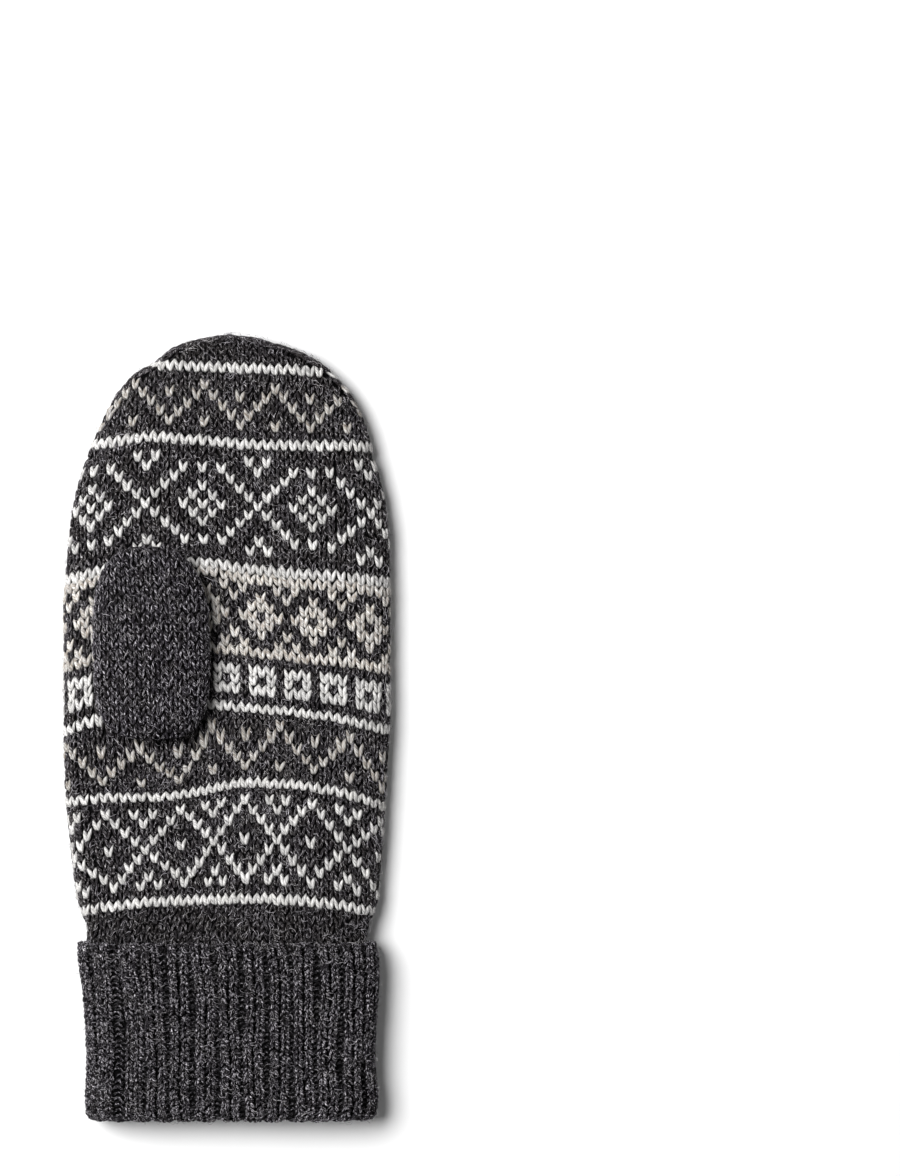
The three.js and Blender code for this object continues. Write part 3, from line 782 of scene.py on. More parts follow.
def backing(skin, outer, inner, first, last, every):
    """A closed wall of cloth behind the stitches, from how far out of the skin to how far."""
    stations = list(range(first, last, every)) + [last]
    places = range(0, 4 * ROUND_STEPS, 2)
    rings = []
    for out in (outer, inner):
        grid = skin.points[stations][:, places] + skin.normals[stations][:, places] * out
        rings.append(grid)
    count = len(places)
    skins = np.concatenate((rings[0], rings[1][::-1]))
    total = len(skins)
    points = skins.reshape(-1, 3)
    i = np.arange(count)
    j = (i + 1) % count
    quads = []
    pairs = [(k, (k + 1) % total) for k in range(total)]
    for low, high in pairs:
        quads.append(np.stack((low * count + i, low * count + j, high * count + j, high * count + i), axis=1))
    quads = np.concatenate(quads)
    corners = np.array(((0, 0), (1, 0), (1, 1), (0, 1)), float)
    ring = np.repeat(np.arange(len(pairs)), count)
    turn = np.tile(i, len(pairs))
    cell = np.stack((turn, ring), axis=1)[:, None, :] + corners[None]
    sheet = cell / np.array((count, len(pairs)))
    yarn = cell * np.array((2.5, 2.5))
    return {
        "points": points,
        "quads": quads,
        "yarn": yarn.reshape(-1, 2),
        "sheet": sheet.reshape(-1, 2) * 0.98 + 0.01,
        # Depth 0 on the outer face, which shows between the stitches, so that the shader paints it in deep shade; 1 on
        # the inner face
        "depth": np.repeat((0.0, 1.0), len(points) // 2),
        "shade": np.full(len(points), 0.5),
    }


def loose_hairs(skin, stitches, count, chance, lift, stray, rib_drop=0.0):
    """Thin bent strips of fibre. Most lie along a leg of a stitch, and the stray ones stand out of the
    cloth in any direction."""
    pick = chance.integers(0, len(stitches), count)
    start = stitches.pick(pick)
    t = np.linspace(0, 1, 4)[None, :]
    loose = chance.uniform(0, 1, (count, 1)) < stray
    side = np.where(chance.uniform(0, 1, (count, 1)) < 0.5, -1.0, 1.0)
    length = np.where(loose, chance.uniform(1.2, 3.4, (count, 1)), chance.uniform(0.9, 2.2, (count, 1)))
    turn = np.where(
        loose, chance.uniform(0, 2 * np.pi, (count, 1)), np.pi / 2 - side * 0.3 + chance.normal(0, 0.2, (count, 1)))
    angle = turn + chance.normal(0, 0.9, (count, 1)) * np.where(loose, 1, 0.25) * t
    from_across = np.where(
        loose, chance.uniform(-1.5, 1.5, (count, 1)), side * (0.55 + chance.uniform(-0.4, 0.4, (count, 1))))
    from_up = np.where(loose, chance.uniform(-1.5, 1.5, (count, 1)), chance.uniform(-1.9, 0.3, (count, 1)))
    across = from_across + length * t * np.cos(angle)
    up = from_up + length * t * np.sin(angle)
    high = chance.uniform(0.1, 1, (count, 1)) * np.where(loose, lift, 0.12)
    rise = np.sin(np.pi * np.minimum(1, t * chance.uniform(0.5, 1.0, (count, 1))))
    out = np.where(loose, -0.25, 0.02) + high * rise
    out = out - rib_drop * np.abs(np.clip(start.rib[:, None] + across / RIB_WALE, -1.1, 1.1)) ** 3
    row = start.row[:, None] - up / ROW_HEIGHT
    base = np.repeat(start.base[:, None], 4, axis=1)
    kind = np.repeat(start.kind[:, None], 4, axis=1)
    spine = skin.place(row, base, kind, across, out)
    width = sizes().hair_width / MM * chance.uniform(0.6, 1.5, (count, 1, 1))
    flat = np.cross(np.gradient(spine, axis=1), chance.normal(0, 0.5, (count, 1, 3)) + (0, 0, 1))
    flat /= np.maximum(np.linalg.norm(flat, axis=2, keepdims=True), 1e-6)
    taper = np.array((0.7, 1, 0.9, 0.35))[None, :, None]
    edges = np.stack((spine - flat * width * taper / 2, spine + flat * width * taper / 2), axis=2)
    strip = np.array(((0, 1, 3, 2), (2, 3, 5, 4), (4, 5, 7, 6)))
    quads = (strip[None] + (np.arange(count) * 8)[:, None, None]).reshape(-1, 4)
    grid = math.ceil(math.sqrt(count))
    cell = np.stack((np.arange(count) % grid, np.arange(count) // grid), axis=1)
    share = np.array([((k / 3, 0.1), (k / 3, 0.9), ((k + 1) / 3, 0.9), ((k + 1) / 3, 0.1)) for k in range(3)])
    sheet = (cell[:, None, None, :] + 0.05 + 0.9 * share[None]) / grid
    yarn = sheet * 300
    return {
        "loose": True,
        "points": edges.reshape(-1, 3),
        "quads": quads,
        "yarn": yarn.reshape(-1, 2),
        "sheet": sheet.reshape(-1, 2),
        "depth": np.ones(count * 8),
        "shade": np.repeat(chance.uniform(0, 1, count) ** 1.5, 8),
    }


# Materials

YARN_GIRTH = 2 * math.pi * 0.6
PLY_TWIST = 0.45
FIBRE_TWIST = 0.7


def new_group(name, inputs, outputs):
    group = bpy.data.node_groups.new(name, "ShaderNodeTree")
    for label, kind, default in inputs:
        socket = group.interface.new_socket(label, in_out="INPUT", socket_type=kind)
        socket.default_value = default
    for label, kind in outputs:
        group.interface.new_socket(label, in_out="OUTPUT", socket_type=kind)
    return group


class Nodes:
    """Adds nodes to a tree and joins them."""

    def __init__(self, tree):
        self.tree = tree
        self.count = 0

    def add(self, kind, label="", **settings):
        node = self.tree.nodes.new(kind)
        node.label = label
        node.location = (-1200 + 180 * (self.count % 8), 400 - 220 * (self.count // 8))
        self.count += 1
        for name, value in settings.items():
            setattr(node, name, value)
        return node

    def join(self, source, target):
        self.tree.links.new(source, target)

    def put(self, node, socket, value):
        if isinstance(value, bpy.types.NodeSocket):
            self.join(value, node.inputs[socket])
        else:
            node.inputs[socket].default_value = value

    def maths(self, operation, a, b=0.5, clamp=False, label=""):
        node = self.add("ShaderNodeMath", label, operation=operation, use_clamp=clamp)
        self.put(node, 0, a)
        self.put(node, 1, b)
        return node.outputs[0]

    def spread(self, value, low, high, to_low=0.0, to_high=1.0, label=""):
        node = self.add("ShaderNodeMapRange", label, interpolation_type="SMOOTHSTEP")
        for socket, given in zip(range(5), (value, low, high, to_low, to_high)):
            self.put(node, socket, given)
        return node.outputs[0]

    def mix_colour(self, factor, a, b, blend="MIX", label=""):
        node = self.add("ShaderNodeMix", label, data_type="RGBA", blend_type=blend)
        self.put(node, 0, factor)
        self.put(node, 6, a)
        self.put(node, 7, b)
        return node.outputs[2]

    def noise(self, vector, scale, detail=2.0, rough=0.5, label=""):
        node = self.add("ShaderNodeTexNoise", label, noise_dimensions="3D")
        self.put(node, "Vector", vector)
        self.put(node, "Scale", scale)
        self.put(node, "Detail", detail)
        self.put(node, "Roughness", rough)
        return node.outputs["Fac"]

    def stretch(self, along, round_yarn, x, y, shift):
        node = self.add("ShaderNodeCombineXYZ")
        self.put(node, 0, self.maths("DIVIDE", along, x))
        self.put(node, 1, self.maths("DIVIDE", round_yarn, y))
        self.put(node, 2, shift)
        return node.outputs[0]


def heather_group():
    """Shader group for spun wool: fibres of three colours that run along the yarn, darkened with painted shade where
    the yarn lies deep in the cloth and in the grooves between its plies.
    """
    if "Heather yarn" in bpy.data.node_groups:
        return bpy.data.node_groups["Heather yarn"]
    group = new_group(
        "Heather yarn",
        (
            ("Deep", "NodeSocketColor", (0, 0, 0, 1)),
            ("Body", "NodeSocketColor", (0.05, 0.05, 0.05, 1)),
            ("Fleck", "NodeSocketColor", (0.4, 0.4, 0.4, 1)),
            ("Fleck Edge", "NodeSocketFloat", 0.6),
            ("Gap Edge", "NodeSocketFloat", 0.42),
            ("Fleck Length", "NodeSocketFloat", 1.3),
            ("Fleck Width", "NodeSocketFloat", 0.45),
            ("Shade Change", "NodeSocketFloat", 0.15),
            ("Hollow Dark", "NodeSocketFloat", 0.8),
            ("Ply Dark", "NodeSocketFloat", 0.3),
            ("Dye Change", "NodeSocketFloat", 1.0),
        ),
        (("Color", "NodeSocketColor"), ("Height", "NodeSocketFloat"), ("Roughness", "NodeSocketFloat")),
    )
    n = Nodes(group)
    given = n.add("NodeGroupInput").outputs
    yarn = n.add("ShaderNodeSeparateXYZ")
    n.join(n.add("ShaderNodeUVMap", uv_map="YarnUV").outputs[0], yarn.inputs[0])
    along, turned = yarn.outputs[0], yarn.outputs[1]
    laid = n.maths("SUBTRACT", turned, n.maths("MULTIPLY", along, FIBRE_TWIST), label="Laid round the yarn")
    long_fibres = n.stretch(along, laid, given["Fleck Length"], given["Fleck Width"], 0.0)
    streak = n.noise(long_fibres, 1.0, 2.0, 0.6, "Streaks")
    other = n.stretch(along, laid, given["Fleck Length"], given["Fleck Width"], 31.7)
    fleck = n.noise(other, 1.25, 1.0, 0.5, "Flecks")
    fine = n.noise(other, 3.4, 1.0, 0.5, "Single fibres")
    soft = n.maths("ADD", given["Fleck Edge"], 0.1)
    light = n.spread(fleck, given["Fleck Edge"], soft, label="Light fibres")
    spot = n.noise(n.add("ShaderNodeTexCoord").outputs["Object"], 160.0, 2.0, label="Dye lots")
    dye = n.maths("MULTIPLY", n.spread(spot, 0.42, 0.62), given["Dye Change"])
    dyed = n.mix_colour(dye, given["Body"], (1.0, 1.0, 0.88, 1), "MULTIPLY", "Dyed")
    body = n.mix_colour(n.spread(streak, given["Gap Edge"], 0.56), given["Deep"], dyed)
    flecked = n.mix_colour(light, body, given["Fleck"], label="Flecked")
    combed = n.mix_colour(0.55, flecked, n.spread(fine, 0.3, 0.7, 0.45, 1.4), "MULTIPLY", "Combed")
    shade = n.add("ShaderNodeAttribute", attribute_name="Shade").outputs["Fac"]
    change = n.maths("MULTIPLY", n.maths("SUBTRACT", shade, 0.5), given["Shade Change"])
    level = n.maths("ADD", n.maths("MULTIPLY", change, 2.0), 1.0)
    # Painted shade: the colour darkens where the yarn lies deep in the cloth, between and under the stitches, as the
    # Depth attribute tells
    depth = n.add("ShaderNodeAttribute", attribute_name="Depth").outputs["Fac"]
    hollow = n.spread(depth, 0.3, 0.88, n.maths("SUBTRACT", 1.0, given["Hollow Dark"]), 1.0)
    # Painted shade: a dark line in the groove between the plies, twisting round the yarn; it also lowers the bump
    # there
    twist = n.maths("SUBTRACT", turned, n.maths("MULTIPLY", along, PLY_TWIST))
    groove = n.maths("PINGPONG", twist, YARN_GIRTH / 4, label="Painted shade between the plies")
    ply = n.spread(groove, 0.0, 0.2, n.maths("SUBTRACT", 1.0, given["Ply Dark"]), 1.0)
    # Each stitch's random tone, times the painted shade of the hollows and of the grooves between the plies
    value = n.maths("MULTIPLY", n.maths("MULTIPLY", level, hollow), ply)
    grey = n.add("ShaderNodeCombineColor")
    for k in range(3):
        n.join(value, grey.inputs[k])
    shaded = n.mix_colour(1.0, combed, grey.outputs[0], "MULTIPLY", "Shaded")
    end = n.add("NodeGroupOutput").inputs
    n.join(shaded, end["Color"])
    fibres = n.maths("ADD", n.maths("MULTIPLY", streak, 0.6), n.maths("MULTIPLY", fine, 0.4))
    n.join(n.maths("MULTIPLY", fibres, ply), end["Height"])
    n.join(n.spread(fleck, 0.3, 0.8, 0.95, 0.7), end["Roughness"])
    return group


def wool(name, deep, body, fleck, sheen, bump, **values):
    """A wool finish: the shared heather group under a Principled shader."""
    if name in bpy.data.materials:
        return bpy.data.materials[name]
    material = bpy.data.materials.new(name)
    material.use_nodes = True
    n = Nodes(material.node_tree)
    shader = material.node_tree.nodes["Principled BSDF"]
    heather = n.add("ShaderNodeGroup", "Heather yarn", node_tree=heather_group())
    for label, colour in (("Deep", deep), ("Body", body), ("Fleck", fleck)):
        heather.inputs[label].default_value = (*colour, 1)
    for label, value in values.items():
        heather.inputs[label.replace("_", " ")].default_value = value
    relief = n.add("ShaderNodeBump", "Fibres")
    relief.inputs["Strength"].default_value = bump
    relief.inputs["Distance"].default_value = 0.0003
    n.join(heather.outputs["Height"], relief.inputs["Height"])
    n.join(relief.outputs[0], shader.inputs["Normal"])
    n.join(heather.outputs["Color"], shader.inputs["Base Color"])
    n.join(heather.outputs["Roughness"], shader.inputs["Roughness"])
    shader.inputs["Specular IOR Level"].default_value = 0.08
    shader.inputs["Sheen Weight"].default_value = sheen
    shader.inputs["Sheen Roughness"].default_value = 0.5
    return material


def charcoal_wool():
    c = colours()
    return wool("charcoal_wool", c.charcoal_deep, [0.92 * v for v in c.charcoal_body], c.charcoal_fleck, 0.0, 0.5,
                Fleck_Edge=0.6, Gap_Edge=0.4, Fleck_Length=1.5, Fleck_Width=0.34, Shade_Change=0.25,
                Hollow_Dark=0.86)


def charcoal_palm_wool():
    c = colours()
    deep = [1.9 * v for v in c.charcoal_deep]
    body = [share * v for share, v in zip((1.05, 1.04, 0.93), c.charcoal_body)]
    fleck = [share * v for share, v in zip((1.02, 1.02, 0.97), c.charcoal_fleck)]
    return wool("charcoal_palm_wool", deep, body, fleck, 0.0, 0.5, Fleck_Edge=0.62, Gap_Edge=0.42,
                Fleck_Length=1.3, Fleck_Width=0.27, Shade_Change=0.25, Hollow_Dark=0.84)


def charcoal_rib_wool():
    c = colours()
    return wool("charcoal_rib_wool", c.charcoal_deep, [0.61 * v for v in c.charcoal_body],
                [1.3 * v for v in c.charcoal_fleck], 0.0, 0.5, Fleck_Edge=0.605, Gap_Edge=0.41, Fleck_Length=0.9, Fleck_Width=0.23, Shade_Change=0.2,
                Hollow_Dark=0.8)


def charcoal_inside_painted_shade():
    # The inside cloth is real, but its yarn is made darker than the charcoal, as painted shade in the gaps between the
    # stitches
    c = colours()
    return wool("charcoal_inside_painted_shade", c.charcoal_deep, [0.6 * v for v in c.charcoal_body],
                [0.6 * v for v in c.charcoal_fleck], 0.0, 0.8, Fleck_Edge=0.6, Gap_Edge=0.45,
                Fleck_Length=2.4, Fleck_Width=0.9, Hollow_Dark=0.9)


def charcoal_fuzz():
    c = colours()
    return wool("charcoal_fuzz", c.charcoal_body, [0.4 * v for v in c.charcoal_fleck], c.charcoal_fleck, 0.0, 0.1,
                Fleck_Edge=0.5, Gap_Edge=0.3, Shade_Change=0.8)


def ecru_wool():
    c = colours()
    return wool("ecru_wool", [0.55 * v for v in c.ecru_body], c.ecru_body, [min(1, 1.1 * v) for v in c.ecru_body],
                0.1, 0.7, Fleck_Edge=0.55, Gap_Edge=0.43, Fleck_Length=3.0, Fleck_Width=0.4, Shade_Change=0.14,
                Hollow_Dark=0.86, Ply_Dark=0.5, Dye_Change=0.2)


def beige_wool():
    c = colours()
    return wool("beige_wool", [a * v for a, v in zip((0.5, 0.44, 0.38), c.beige_body)], c.beige_body,
                [min(1, 1.3 * v) for v in c.beige_body], 0.1, 0.7, Fleck_Edge=0.56, Gap_Edge=0.45,
                Fleck_Length=3.0, Fleck_Width=0.4, Shade_Change=0.34, Hollow_Dark=0.6, Ply_Dark=0.55,
                Dye_Change=0.3)


# The hand's stitches


RIM_ROWS = 22
STEEP_ROWS = 12
TIP_ROWS = 7
RIM_MATCH = 1.7


def chart_row(row):
    """The chart's repeat at a row."""
    for first, rows in CHART:
        if first <= row < first + len(rows):
            return rows[row - first]
    return "."


def chart_colour(row, wale):
    """The chart's yarn at a row and a wale: ".", "E" or "B"."""
    repeat = chart_row(row)
    return repeat[wale % len(repeat)]


def hand_stitches(skin, pitch):
    """Every stitch of the hand, with its yarn. Wales run straight up the palm and the back, and the few
    between them at each rim are spaced evenly, as they are where a round of knitting is flattened."""
    row_at, base, kind, yarn = [], [], [], []
    for row in range(FIRST_ROW, LAST_ROW + 1):
        ends = [float(skin.row_place(np.array(float(row)), np.array(x))) for x in (-40.0, 0.0, 40.0)]
        along = np.array(ends[1])
        under_left, top_left, top_right, under_right = (float(v) for v in skin.lengths(along))
        before = [float(v) for v in skin.lengths(along - 2)]
        beyond = [float(v) for v in skin.lengths(along + 2)]
        slope = [abs(a - b) / 4 for a, b in zip(before, beyond)]
        margin = [(0.9 + 0.4 * min(s, 6.0)) * pitch for s in slope]
        wales = np.arange(-40, 41)
        natural = FIRST_WALE_X + wales * pitch
        shown = natural + skin.lean(float(row), natural)
        fits = (shown > -top_left + margin[1]) & (shown < top_right - margin[2])
        if not fits.any():
            continue
        first, last = int(wales[fits][0]), int(wales[fits][-1])
        over = list(zip(wales[fits], natural[fits]))
        top_ends = shown[fits][[0, -1]]
        left = math.floor((under_left - margin[0]) / pitch)
        right = math.floor((under_right - margin[3]) / pitch)
        wale = last
        for k, s in over:
            row_at.append(row), base.append(float(s)), kind.append(0), yarn.append(chart_colour(row, int(k)))
        gap_start = top_ends[1] / top_right
        gap_end = 2 - right * pitch / under_right
        length = (1 - gap_start) * top_right + (gap_end - 1) * under_right
        fill = max(1, math.ceil(length / pitch - 1.15))
        for k in range(1, fill + 1):
            run = length * k / (fill + 1)
            edge = (1 - gap_start) * top_right
            place = gap_start + run / top_right if run < edge else 1 + (run - edge) / under_right
            wale += 1
            row_at.append(row), base.append(place), kind.append(2), yarn.append(chart_colour(row, wale))
        for k in range(right, -left - 1, -1):
            wale += 1
            row_at.append(row), base.append(k * pitch), kind.append(1), yarn.append(chart_colour(row, wale))
        gap_start = -2 + left * pitch / under_left
        gap_end = top_ends[0] / top_left
        length = (-1 - gap_start) * under_left + (gap_end + 1) * top_left
        fill = max(1, math.ceil(length / pitch - 1.15))
        for k in range(1, fill + 1):
            run = length * k / (fill + 1)
            edge = (-1 - gap_start) * under_left
            place = gap_start + run / under_left if run < edge else -1 + (run - edge) / top_left
            back = first - (fill + 1 - k)
            row_at.append(row), base.append(place), kind.append(2), yarn.append(chart_colour(row, back))
    return Stitches(row_at, base, kind), np.array(yarn)


def rim_skin(skin, side):
    """The hand's skin with its rows counted along one rim, from the fingertips."""
    rim = skin.points[::-1, ROUND_STEPS * (2 + side)]
    run = np.concatenate(([0], np.cumsum(np.linalg.norm(np.diff(rim, axis=0), axis=1))))
    along = skin.along[::-1]
    return Skin(skin.along, skin.points, lambda row, x: np.interp(row * ROW_HEIGHT, run, along))


def rim_stitches(skin, rim, side, pitch):
    """Stitches down one rim of the fingertips, where the rounds are narrowed, with their yarn. Each round
    of the chart passes through every column of them in one stitch."""
    y = rim.row_place(np.arange(RIM_ROWS) + 0.5, 0)
    under_left, top_left, top_right, under_right = skin.lengths(y)
    top, under = (top_right, under_right) if side > 0 else (top_left, under_left)
    row_at, base, yarn = [], [], []
    for column in (-2.5, -1.5, -0.5, 0.5, 1.5, 2.5):
        count = (RIM_ROWS, STEEP_ROWS, TIP_ROWS)[int(abs(column))]
        letters = ["."] * count
        for row in range(FIRST_ROW, 16):
            line = float(skin.row_place(np.array(float(row)), np.array(side * 40.0)))
            k = int(np.argmin(np.abs(y - line)))
            if k < count and abs(y[k] - line) < RIM_MATCH:
                s = side * (top[k] + column * pitch)
                letters[k] = chart_colour(row, round((s - FIRST_WALE_X) / pitch))
        share = column * pitch / (top if column < 0 else under)[:count]
        row_at.extend(np.arange(count) + 0.5)
        base.extend(side * (1 + np.clip(share, -0.9, 0.9)))
        yarn.extend(letters)
    return Stitches(row_at, base, np.full(len(base), 2)), np.array(yarn)


def places_round(skin, stitches):
    """How far along the skin the stitches lie, and how far round it."""
    along = skin.row_place(stitches.row, np.where(stitches.kind == 2, 0, stitches.base))
    around = skin.around(along, stitches.base, stitches.kind, np.zeros(len(stitches)))
    return along, np.mod(around + 2, 4) - 2


def in_rim(skin, stitches, rims, pitch):
    """True for the stitches whose place is taken by the columns down the rims of the fingertips."""
    along, around = places_round(skin, stitches)
    under_left, top_left, top_right, under_right = skin.lengths(along)
    length = np.select((around < -1, around < 0, around < 1), (under_left, top_left, top_right), under_right)
    from_rim = np.abs(np.abs(around) - 1) * length
    wide = np.zeros(len(stitches))
    for rim, side in zip(rims, (-1, 1)):
        own = np.sign(around) == side
        for rows, columns in ((RIM_ROWS, 1), (STEEP_ROWS, 2)):
            wide[own & (along > float(rim.row_place(rows, 0)))] = columns
    return from_rim < (wide - 0.25) * pitch


def under_thumb(skin, stitches):
    """True for the palm's stitches that the thumb hides."""
    zero = np.zeros(len(stitches))
    spot = skin.place(stitches.row, stitches.base, stitches.kind, zero, zero)
    share = (spot[:, 1] - THUMB_ROOT_Y) / THUMB_LENGTH
    section = thumb_section(np.clip(share, 0, 1))
    inside = np.abs(spot[:, 0] - section["centre"]) < section["half"] - 6.5
    return inside & (share > 0.1) & (share < 0.89) & (spot[:, 2] > HAND_RIM_HEIGHT)


class MITTEN_OT_hand(bpy.types.Operator):
    """Knits the patterned hand in its three yarns over a wall of cloth"""

    bl_idname = "mitten.hand"
    bl_label = "Hand"

    def execute(self, context):
        pitch = sizes().stitch_width / MM
        chance = np.random.default_rng(sizes().seed)
        skin = hand_skin()
        stitches, yarn = hand_stitches(skin, pitch)
        keep = ~under_thumb(skin, stitches)
        stitches, yarn = stitches.pick(keep), yarn[keep]
        rims = [rim_skin(skin, side) for side in (-1, 1)]
        keep = ~in_rim(skin, stitches, rims, pitch)
        stitches, yarn = stitches.pick(keep), yarn[keep]
        around = places_round(skin, stitches)[1]
        top = np.abs(around) < 1.25
        edge = np.abs(np.abs(around) - 1) < 0.14
        fine = stitch_form(LEG_RUN, pitch, ROW_HEIGHT)
        plain = stitch_form(pick_stations(LEG_RUN, (0, 1, 3, 4, 5)), pitch, ROW_HEIGHT)
        coarse = stitch_form(pick_stations(LEG_RUN, (0, 1, 3, 5)), pitch, ROW_HEIGHT)
        columns = [(rim, *rim_stitches(skin, rim, side, pitch)) for rim, side in zip(rims, (-1, 1))]
        hairy = sizes().hairs_per_stitch
        for name, letter, material, slot, full, inner_rows, shades, outer_shades in (
            ("hand_charcoal_stitches", ".", charcoal_palm_wool(), "charcoal_yarn", 0.84,
             PATTERN_ROWS, (0.0, 1.0), (-0.35, 0.15)),
            ("hand_ecru_stitches", "E", ecru_wool(), "ecru_yarn", 1.18, PATTERN_ROWS, (0.0, 1.0), (0.0, 1.0)),
            ("hand_beige_stitches", "B", beige_wool(), "beige_yarn", 1.14,
             BEIGE_BAND_ROWS, (0.35, 0.75), (0.05, 0.3)),
        ):
            own = yarn == letter
            over = stitches.pick(own & top)
            below = stitches.pick(own & ~top)
            form = plain if letter == "." else fine
            inner = (over.row >= inner_rows[0]) & (over.row <= inner_rows[1])
            high = over.row < MIDDLE_ROW
            upper, lower = (
                [knit(skin, over.pick(half & rows), form, chance, full=full, shades=span)
                 for rows, span in ((inner, shades), (~inner, outer_shades)) if (half & rows).any()]
                for half in (high, ~high)
            )
            back = [knit(skin, below, coarse, chance, full=full)]
            for rim, column, column_yarn in columns:
                if (column_yarn == letter).any():
                    upper.append(knit(rim, column.pick(column_yarn == letter), form, chance, full=1.08))
            if letter == ".":
                hairs = [
                    loose_hairs(skin, over, int(1.25 * hairy * len(over)), chance, 1.2, 0.5),
                    loose_hairs(skin, below, int(0.3 * hairy * len(below)), chance, 0.7, 0.5),
                    loose_hairs(skin, stitches.pick(edge), int(200 * hairy), chance, 1.7, 1.0),
                ]
                hairs += [loose_hairs(rim, column, int(50 * hairy), chance, 1.7, 1.0) for rim, column, _ in columns]
                new_mesh("hand_charcoal_fuzz", hairs, charcoal_fuzz())
                new_mesh("hand_charcoal_finger_stitches", upper, material)
                new_mesh("hand_charcoal_palm_stitches", lower, material)
                new_mesh("hand_charcoal_back_stitches", back, material)
            else:
                new_mesh(name, upper + lower + back, material)
                hairs = loose_hairs(skin, stitches.pick(own), int(0.5 * hairy * own.sum()), chance, 0.5, 0.7)
                new_mesh(name.replace("stitches", "fuzz"), [hairs], material)
        last = len(skin.along) - 1
        wall = backing(skin, -1.15, -2.3, 0, last - 1, 3)
        piece = new_mesh("hand_cloth", [wall], charcoal_inside_painted_shade())
        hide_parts("hand")
        return {"FINISHED"}


class MITTEN_OT_thumb(bpy.types.Operator):
    """Knits the plain thumb over its own wall of cloth"""

    bl_idname = "mitten.thumb"
    bl_label = "Thumb"

    def execute(self, context):
        pitch = sizes().stitch_width / MM
        row_height = sizes().thumb_row / MM
        chance = np.random.default_rng(sizes().seed + 1)
        skin = thumb_skin(row_height)
        rows = math.floor(skin.along[-1] / row_height)
        row_at, base = [], []
        for row in range(0, rows):
            along = np.array(skin.along[-1] - (row + 0.5) * row_height)
            under_left, top_left, top_right, under_right = (float(v) for v in skin.lengths(along))
            wrap = 0.95 if row < 2 or row > rows - 4 else 0.6
            reach = min(top_left + wrap * under_left, top_right + wrap * under_right)
            for k in range(-12, 13):
                if abs(k) * pitch < reach - 0.4 * pitch:
                    row_at.append(row + 0.5), base.append(k * pitch)
        stitches = Stitches(row_at, base, np.zeros(len(base)))
        form = stitch_form(LEG_RUN, pitch, row_height)
        yarn = knit(skin, stitches, form, chance, full=0.86)
        new_mesh("thumb_stitches", [yarn], charcoal_wool())
        sides = stitches.pick((stitches.row > 1) & (stitches.row < rows - 1))
        hairs = loose_hairs(skin, sides, int(sizes().hairs_per_stitch * len(sides)), chance, 0.7, 0.3)
        new_mesh("thumb_fuzz", [hairs], charcoal_fuzz())
        last = len(skin.along) - 1
        wall = backing(skin, -1.15, -2.0, 1, last - 1, 2)
        piece = new_mesh("thumb_cloth", [wall], charcoal_inside_painted_shade())
        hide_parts("thumb")
        return {"FINISHED"}


# Grooves of the cuff that lie open, by the rib that they precede, and by how many millimetres
OPEN_GROOVES = {11: 2.2}


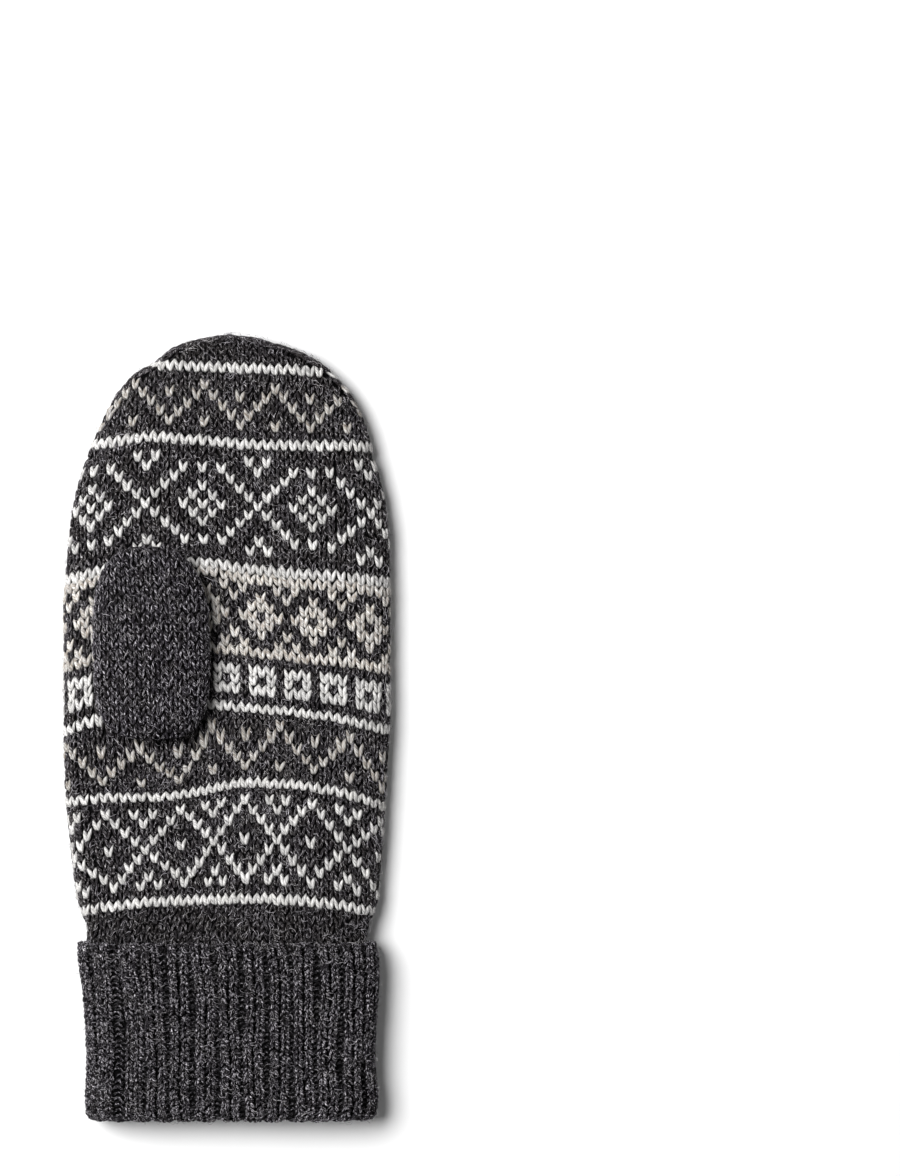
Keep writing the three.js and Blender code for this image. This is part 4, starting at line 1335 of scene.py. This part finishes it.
class MITTEN_OT_cuff(bpy.types.Operator):
    """Knits the ribbed cuff over its folded wall of cloth"""

    bl_idname = "mitten.cuff"
    bl_label = "Cuff"

    def execute(self, context):
        chance = np.random.default_rng(sizes().seed + 2)
        skin = cuff_skin()
        pitch = RIB_WALE
        first_row = -1
        last_row = int((skin.along[-1] - 24) / RIB_ROW)
        row_at, base, rib = [], [], []
        for k in range(CUFF_RIBS):
            for side in (-1, 1):
                centre = -1 + (k + 0.5) * 4 / CUFF_RIBS
                push = OPEN_GROOVES.get(k, 0) - OPEN_GROOVES.get(k + 1, 0)
                push *= 0.5 if (push > 0) == (side < 0) else 0.25
                for row in range(first_row, last_row):
                    sway = 0.3 * math.sin(0.17 * row + 2.1 * k) + 0.2 * math.sin(0.41 * row + 3.7 * k)
                    place = centre + (side * RIB_WALE * 0.51 + push + sway) / 56.9
                    row_at.append(row + 0.5), base.append(place), rib.append(side * 0.5)
        stitches = Stitches(row_at, base, np.full(len(base), 2), rib)
        around = np.mod(stitches.base + 2, 4) - 2
        top = np.abs(around) < 1.1
        at_fold = np.abs(stitches.row * RIB_ROW - CUFF_HEIGHT) < 3
        rim = (np.abs(np.abs(around) - 1) < 0.1) | at_fold
        form = stitch_form(RIB_LEG_RUN, pitch, RIB_ROW)
        coarse = stitch_form(pick_stations(RIB_LEG_RUN, (0, 1, 3, 4)), pitch, RIB_ROW)
        wool_here = charcoal_rib_wool()
        over, below = (
            knit(skin, part, shape, chance, upside_down=True, full=1.08, rib_drop=RIB_DROP, loose=1.4)
            for part, shape in ((stitches.pick(top), form), (stitches.pick(~top), coarse)))
        new_mesh("cuff_ribs_front", [over], wool_here)
        new_mesh("cuff_ribs_back", [below], wool_here)
        hairy = sizes().hairs_per_stitch
        hairs = [
            loose_hairs(skin, stitches.pick(top), int(1.2 * hairy * top.sum()), chance, 0.6, 0.4, RIB_DROP),
            loose_hairs(skin, stitches.pick(~top), int(0.2 * hairy * (~top).sum()), chance, 0.6, 0.5, RIB_DROP),
            loose_hairs(skin, stitches.pick(rim), int(120 * hairy), chance, 1.5, 1.0),
        ]
        new_mesh("cuff_fuzz", hairs, charcoal_fuzz())
        rows = np.arange(1, last_row) + 0.5
        bars = []
        for k in range(CUFF_RIBS):
            place = np.full(len(rows), -1 + k * 4 / CUFF_RIBS)
            wide_open = k in OPEN_GROOVES
            run = OPEN_BAR_RUN if wide_open else pick_stations(BAR_RUN, (0, 2, 4))
            bar = leg_form(run, 4.0, RIB_ROW)
            bar.update(leg=np.zeros(len(bar["middle"]), int), quad_leg=np.zeros(len(bar["quads"]), int), row=RIB_ROW)
            loose = 3.0 if wide_open else 1.0
            bars.append(knit(skin, Stitches(rows, place, np.full(len(rows), 2)), bar, chance, loose=loose))
        new_mesh("cuff_purl_bars", bars, wool_here)
        last = len(skin.along) - 1
        wall = backing(skin, -1.7, -2.5, 20, last, 2)
        piece = new_mesh("cuff_cloth", [wall], charcoal_inside_painted_shade())
        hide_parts("cuff")
        return {"FINISHED"}


class MITTEN_OT_studio(bpy.types.Operator):
    """Lays the pale floor and sets the soft lights and the camera"""

    bl_idname = "mitten.studio"
    bl_label = "Studio"

    def execute(self, context):
        scene = context.scene
        bed = bmesh.new()
        bmesh.ops.create_grid(bed, x_segments=8, y_segments=8, size=3)
        mesh = bpy.data.meshes.new("floor")
        bed.to_mesh(mesh)
        bed.free()
        floor = bpy.data.objects.new("floor", mesh)
        scene.collection.objects.link(floor)
        material = bpy.data.materials.new("pale_floor")
        material.use_nodes = True
        n = Nodes(material.node_tree)
        shader = material.node_tree.nodes["Principled BSDF"]
        place = n.add("ShaderNodeTexCoord").outputs["Object"]
        grain = n.noise(place, 60.0, 3.0)
        pale = (*colours().floor, 1)
        n.join(n.mix_colour(n.spread(grain, 0.2, 0.8), pale, [0.985 * v for v in pale[:3]] + [1]),
               shader.inputs["Base Color"])
        shader.inputs["Roughness"].default_value = 0.9
        shader.inputs["Specular IOR Level"].default_value = 0.1
        mesh.materials.append(material)

        def area(name, place, aim, size, power):
            light = bpy.data.lights.new(name, "AREA")
            light.shape = "DISK"
            light.size = size
            light.energy = power
            lamp = bpy.data.objects.new(name, light)
            lamp.location = place
            lamp.rotation_mode = "QUATERNION"
            lamp.rotation_quaternion = (Vector(aim) - Vector(place)).to_track_quat("-Z", "Y")
            scene.collection.objects.link(lamp)

        area("key_light", (-0.9, 0.45, 1.48), (0.08, 0.02, 0), 1.4, 54)
        area("fill_light", (0.9, -0.3, 1.8), (0, 0, 0), 1.4, 1.5)
        world = bpy.data.worlds.new("studio")
        world.use_nodes = True
        world.node_tree.nodes["Background"].inputs["Color"].default_value = (1, 1, 1, 1)
        world.node_tree.nodes["Background"].inputs["Strength"].default_value = 0.115
        scene.world = world
        scene.view_settings.view_transform = "Standard"

        lens = bpy.data.cameras.new("camera")
        camera = bpy.data.objects.new("camera", lens)
        distance = 1.8
        lens.lens = 36 * distance / 0.4189
        lens.clip_end = 20
        camera.location = (0.0796, 0.0495, distance + 0.008)
        scene.collection.objects.link(camera)
        scene.camera = camera
        return {"FINISHED"}


class MITTEN_PT_panel(bpy.types.Panel):
    """Lists the mitten's sizes, colours and pieces"""

    bl_idname = "MITTEN_PT_panel"
    bl_label = "Jacquard mitten"
    bl_space_type = "VIEW_3D"
    bl_region_type = "UI"
    bl_category = "Mitten"

    def draw(self, context):
        layout = self.layout
        for settings in (context.scene.mitten_sizes, context.scene.mitten_colours):
            box = layout.box()
            for name in settings.__annotations__:
                box.prop(settings, name)
        for operator in OPERATORS:
            layout.operator(operator.bl_idname)


OPERATORS = (MITTEN_OT_studio, MITTEN_OT_hand, MITTEN_OT_thumb, MITTEN_OT_cuff)
CLASSES = (MittenSizes, MittenColours, *OPERATORS, MITTEN_PT_panel)


def register():
    for cls in CLASSES:
        bpy.utils.register_class(cls)
    bpy.types.Scene.mitten_sizes = PointerProperty(type=MittenSizes)
    bpy.types.Scene.mitten_colours = PointerProperty(type=MittenColours)


def unregister():
    del bpy.types.Scene.mitten_colours
    del bpy.types.Scene.mitten_sizes
    for cls in reversed(CLASSES):
        bpy.utils.unregister_class(cls)


def main():
    register()
    bpy.ops.mitten.studio()
    bpy.ops.mitten.hand()
    bpy.ops.mitten.thumb()
    bpy.ops.mitten.cuff()


if __name__ == "__main__":
    main()
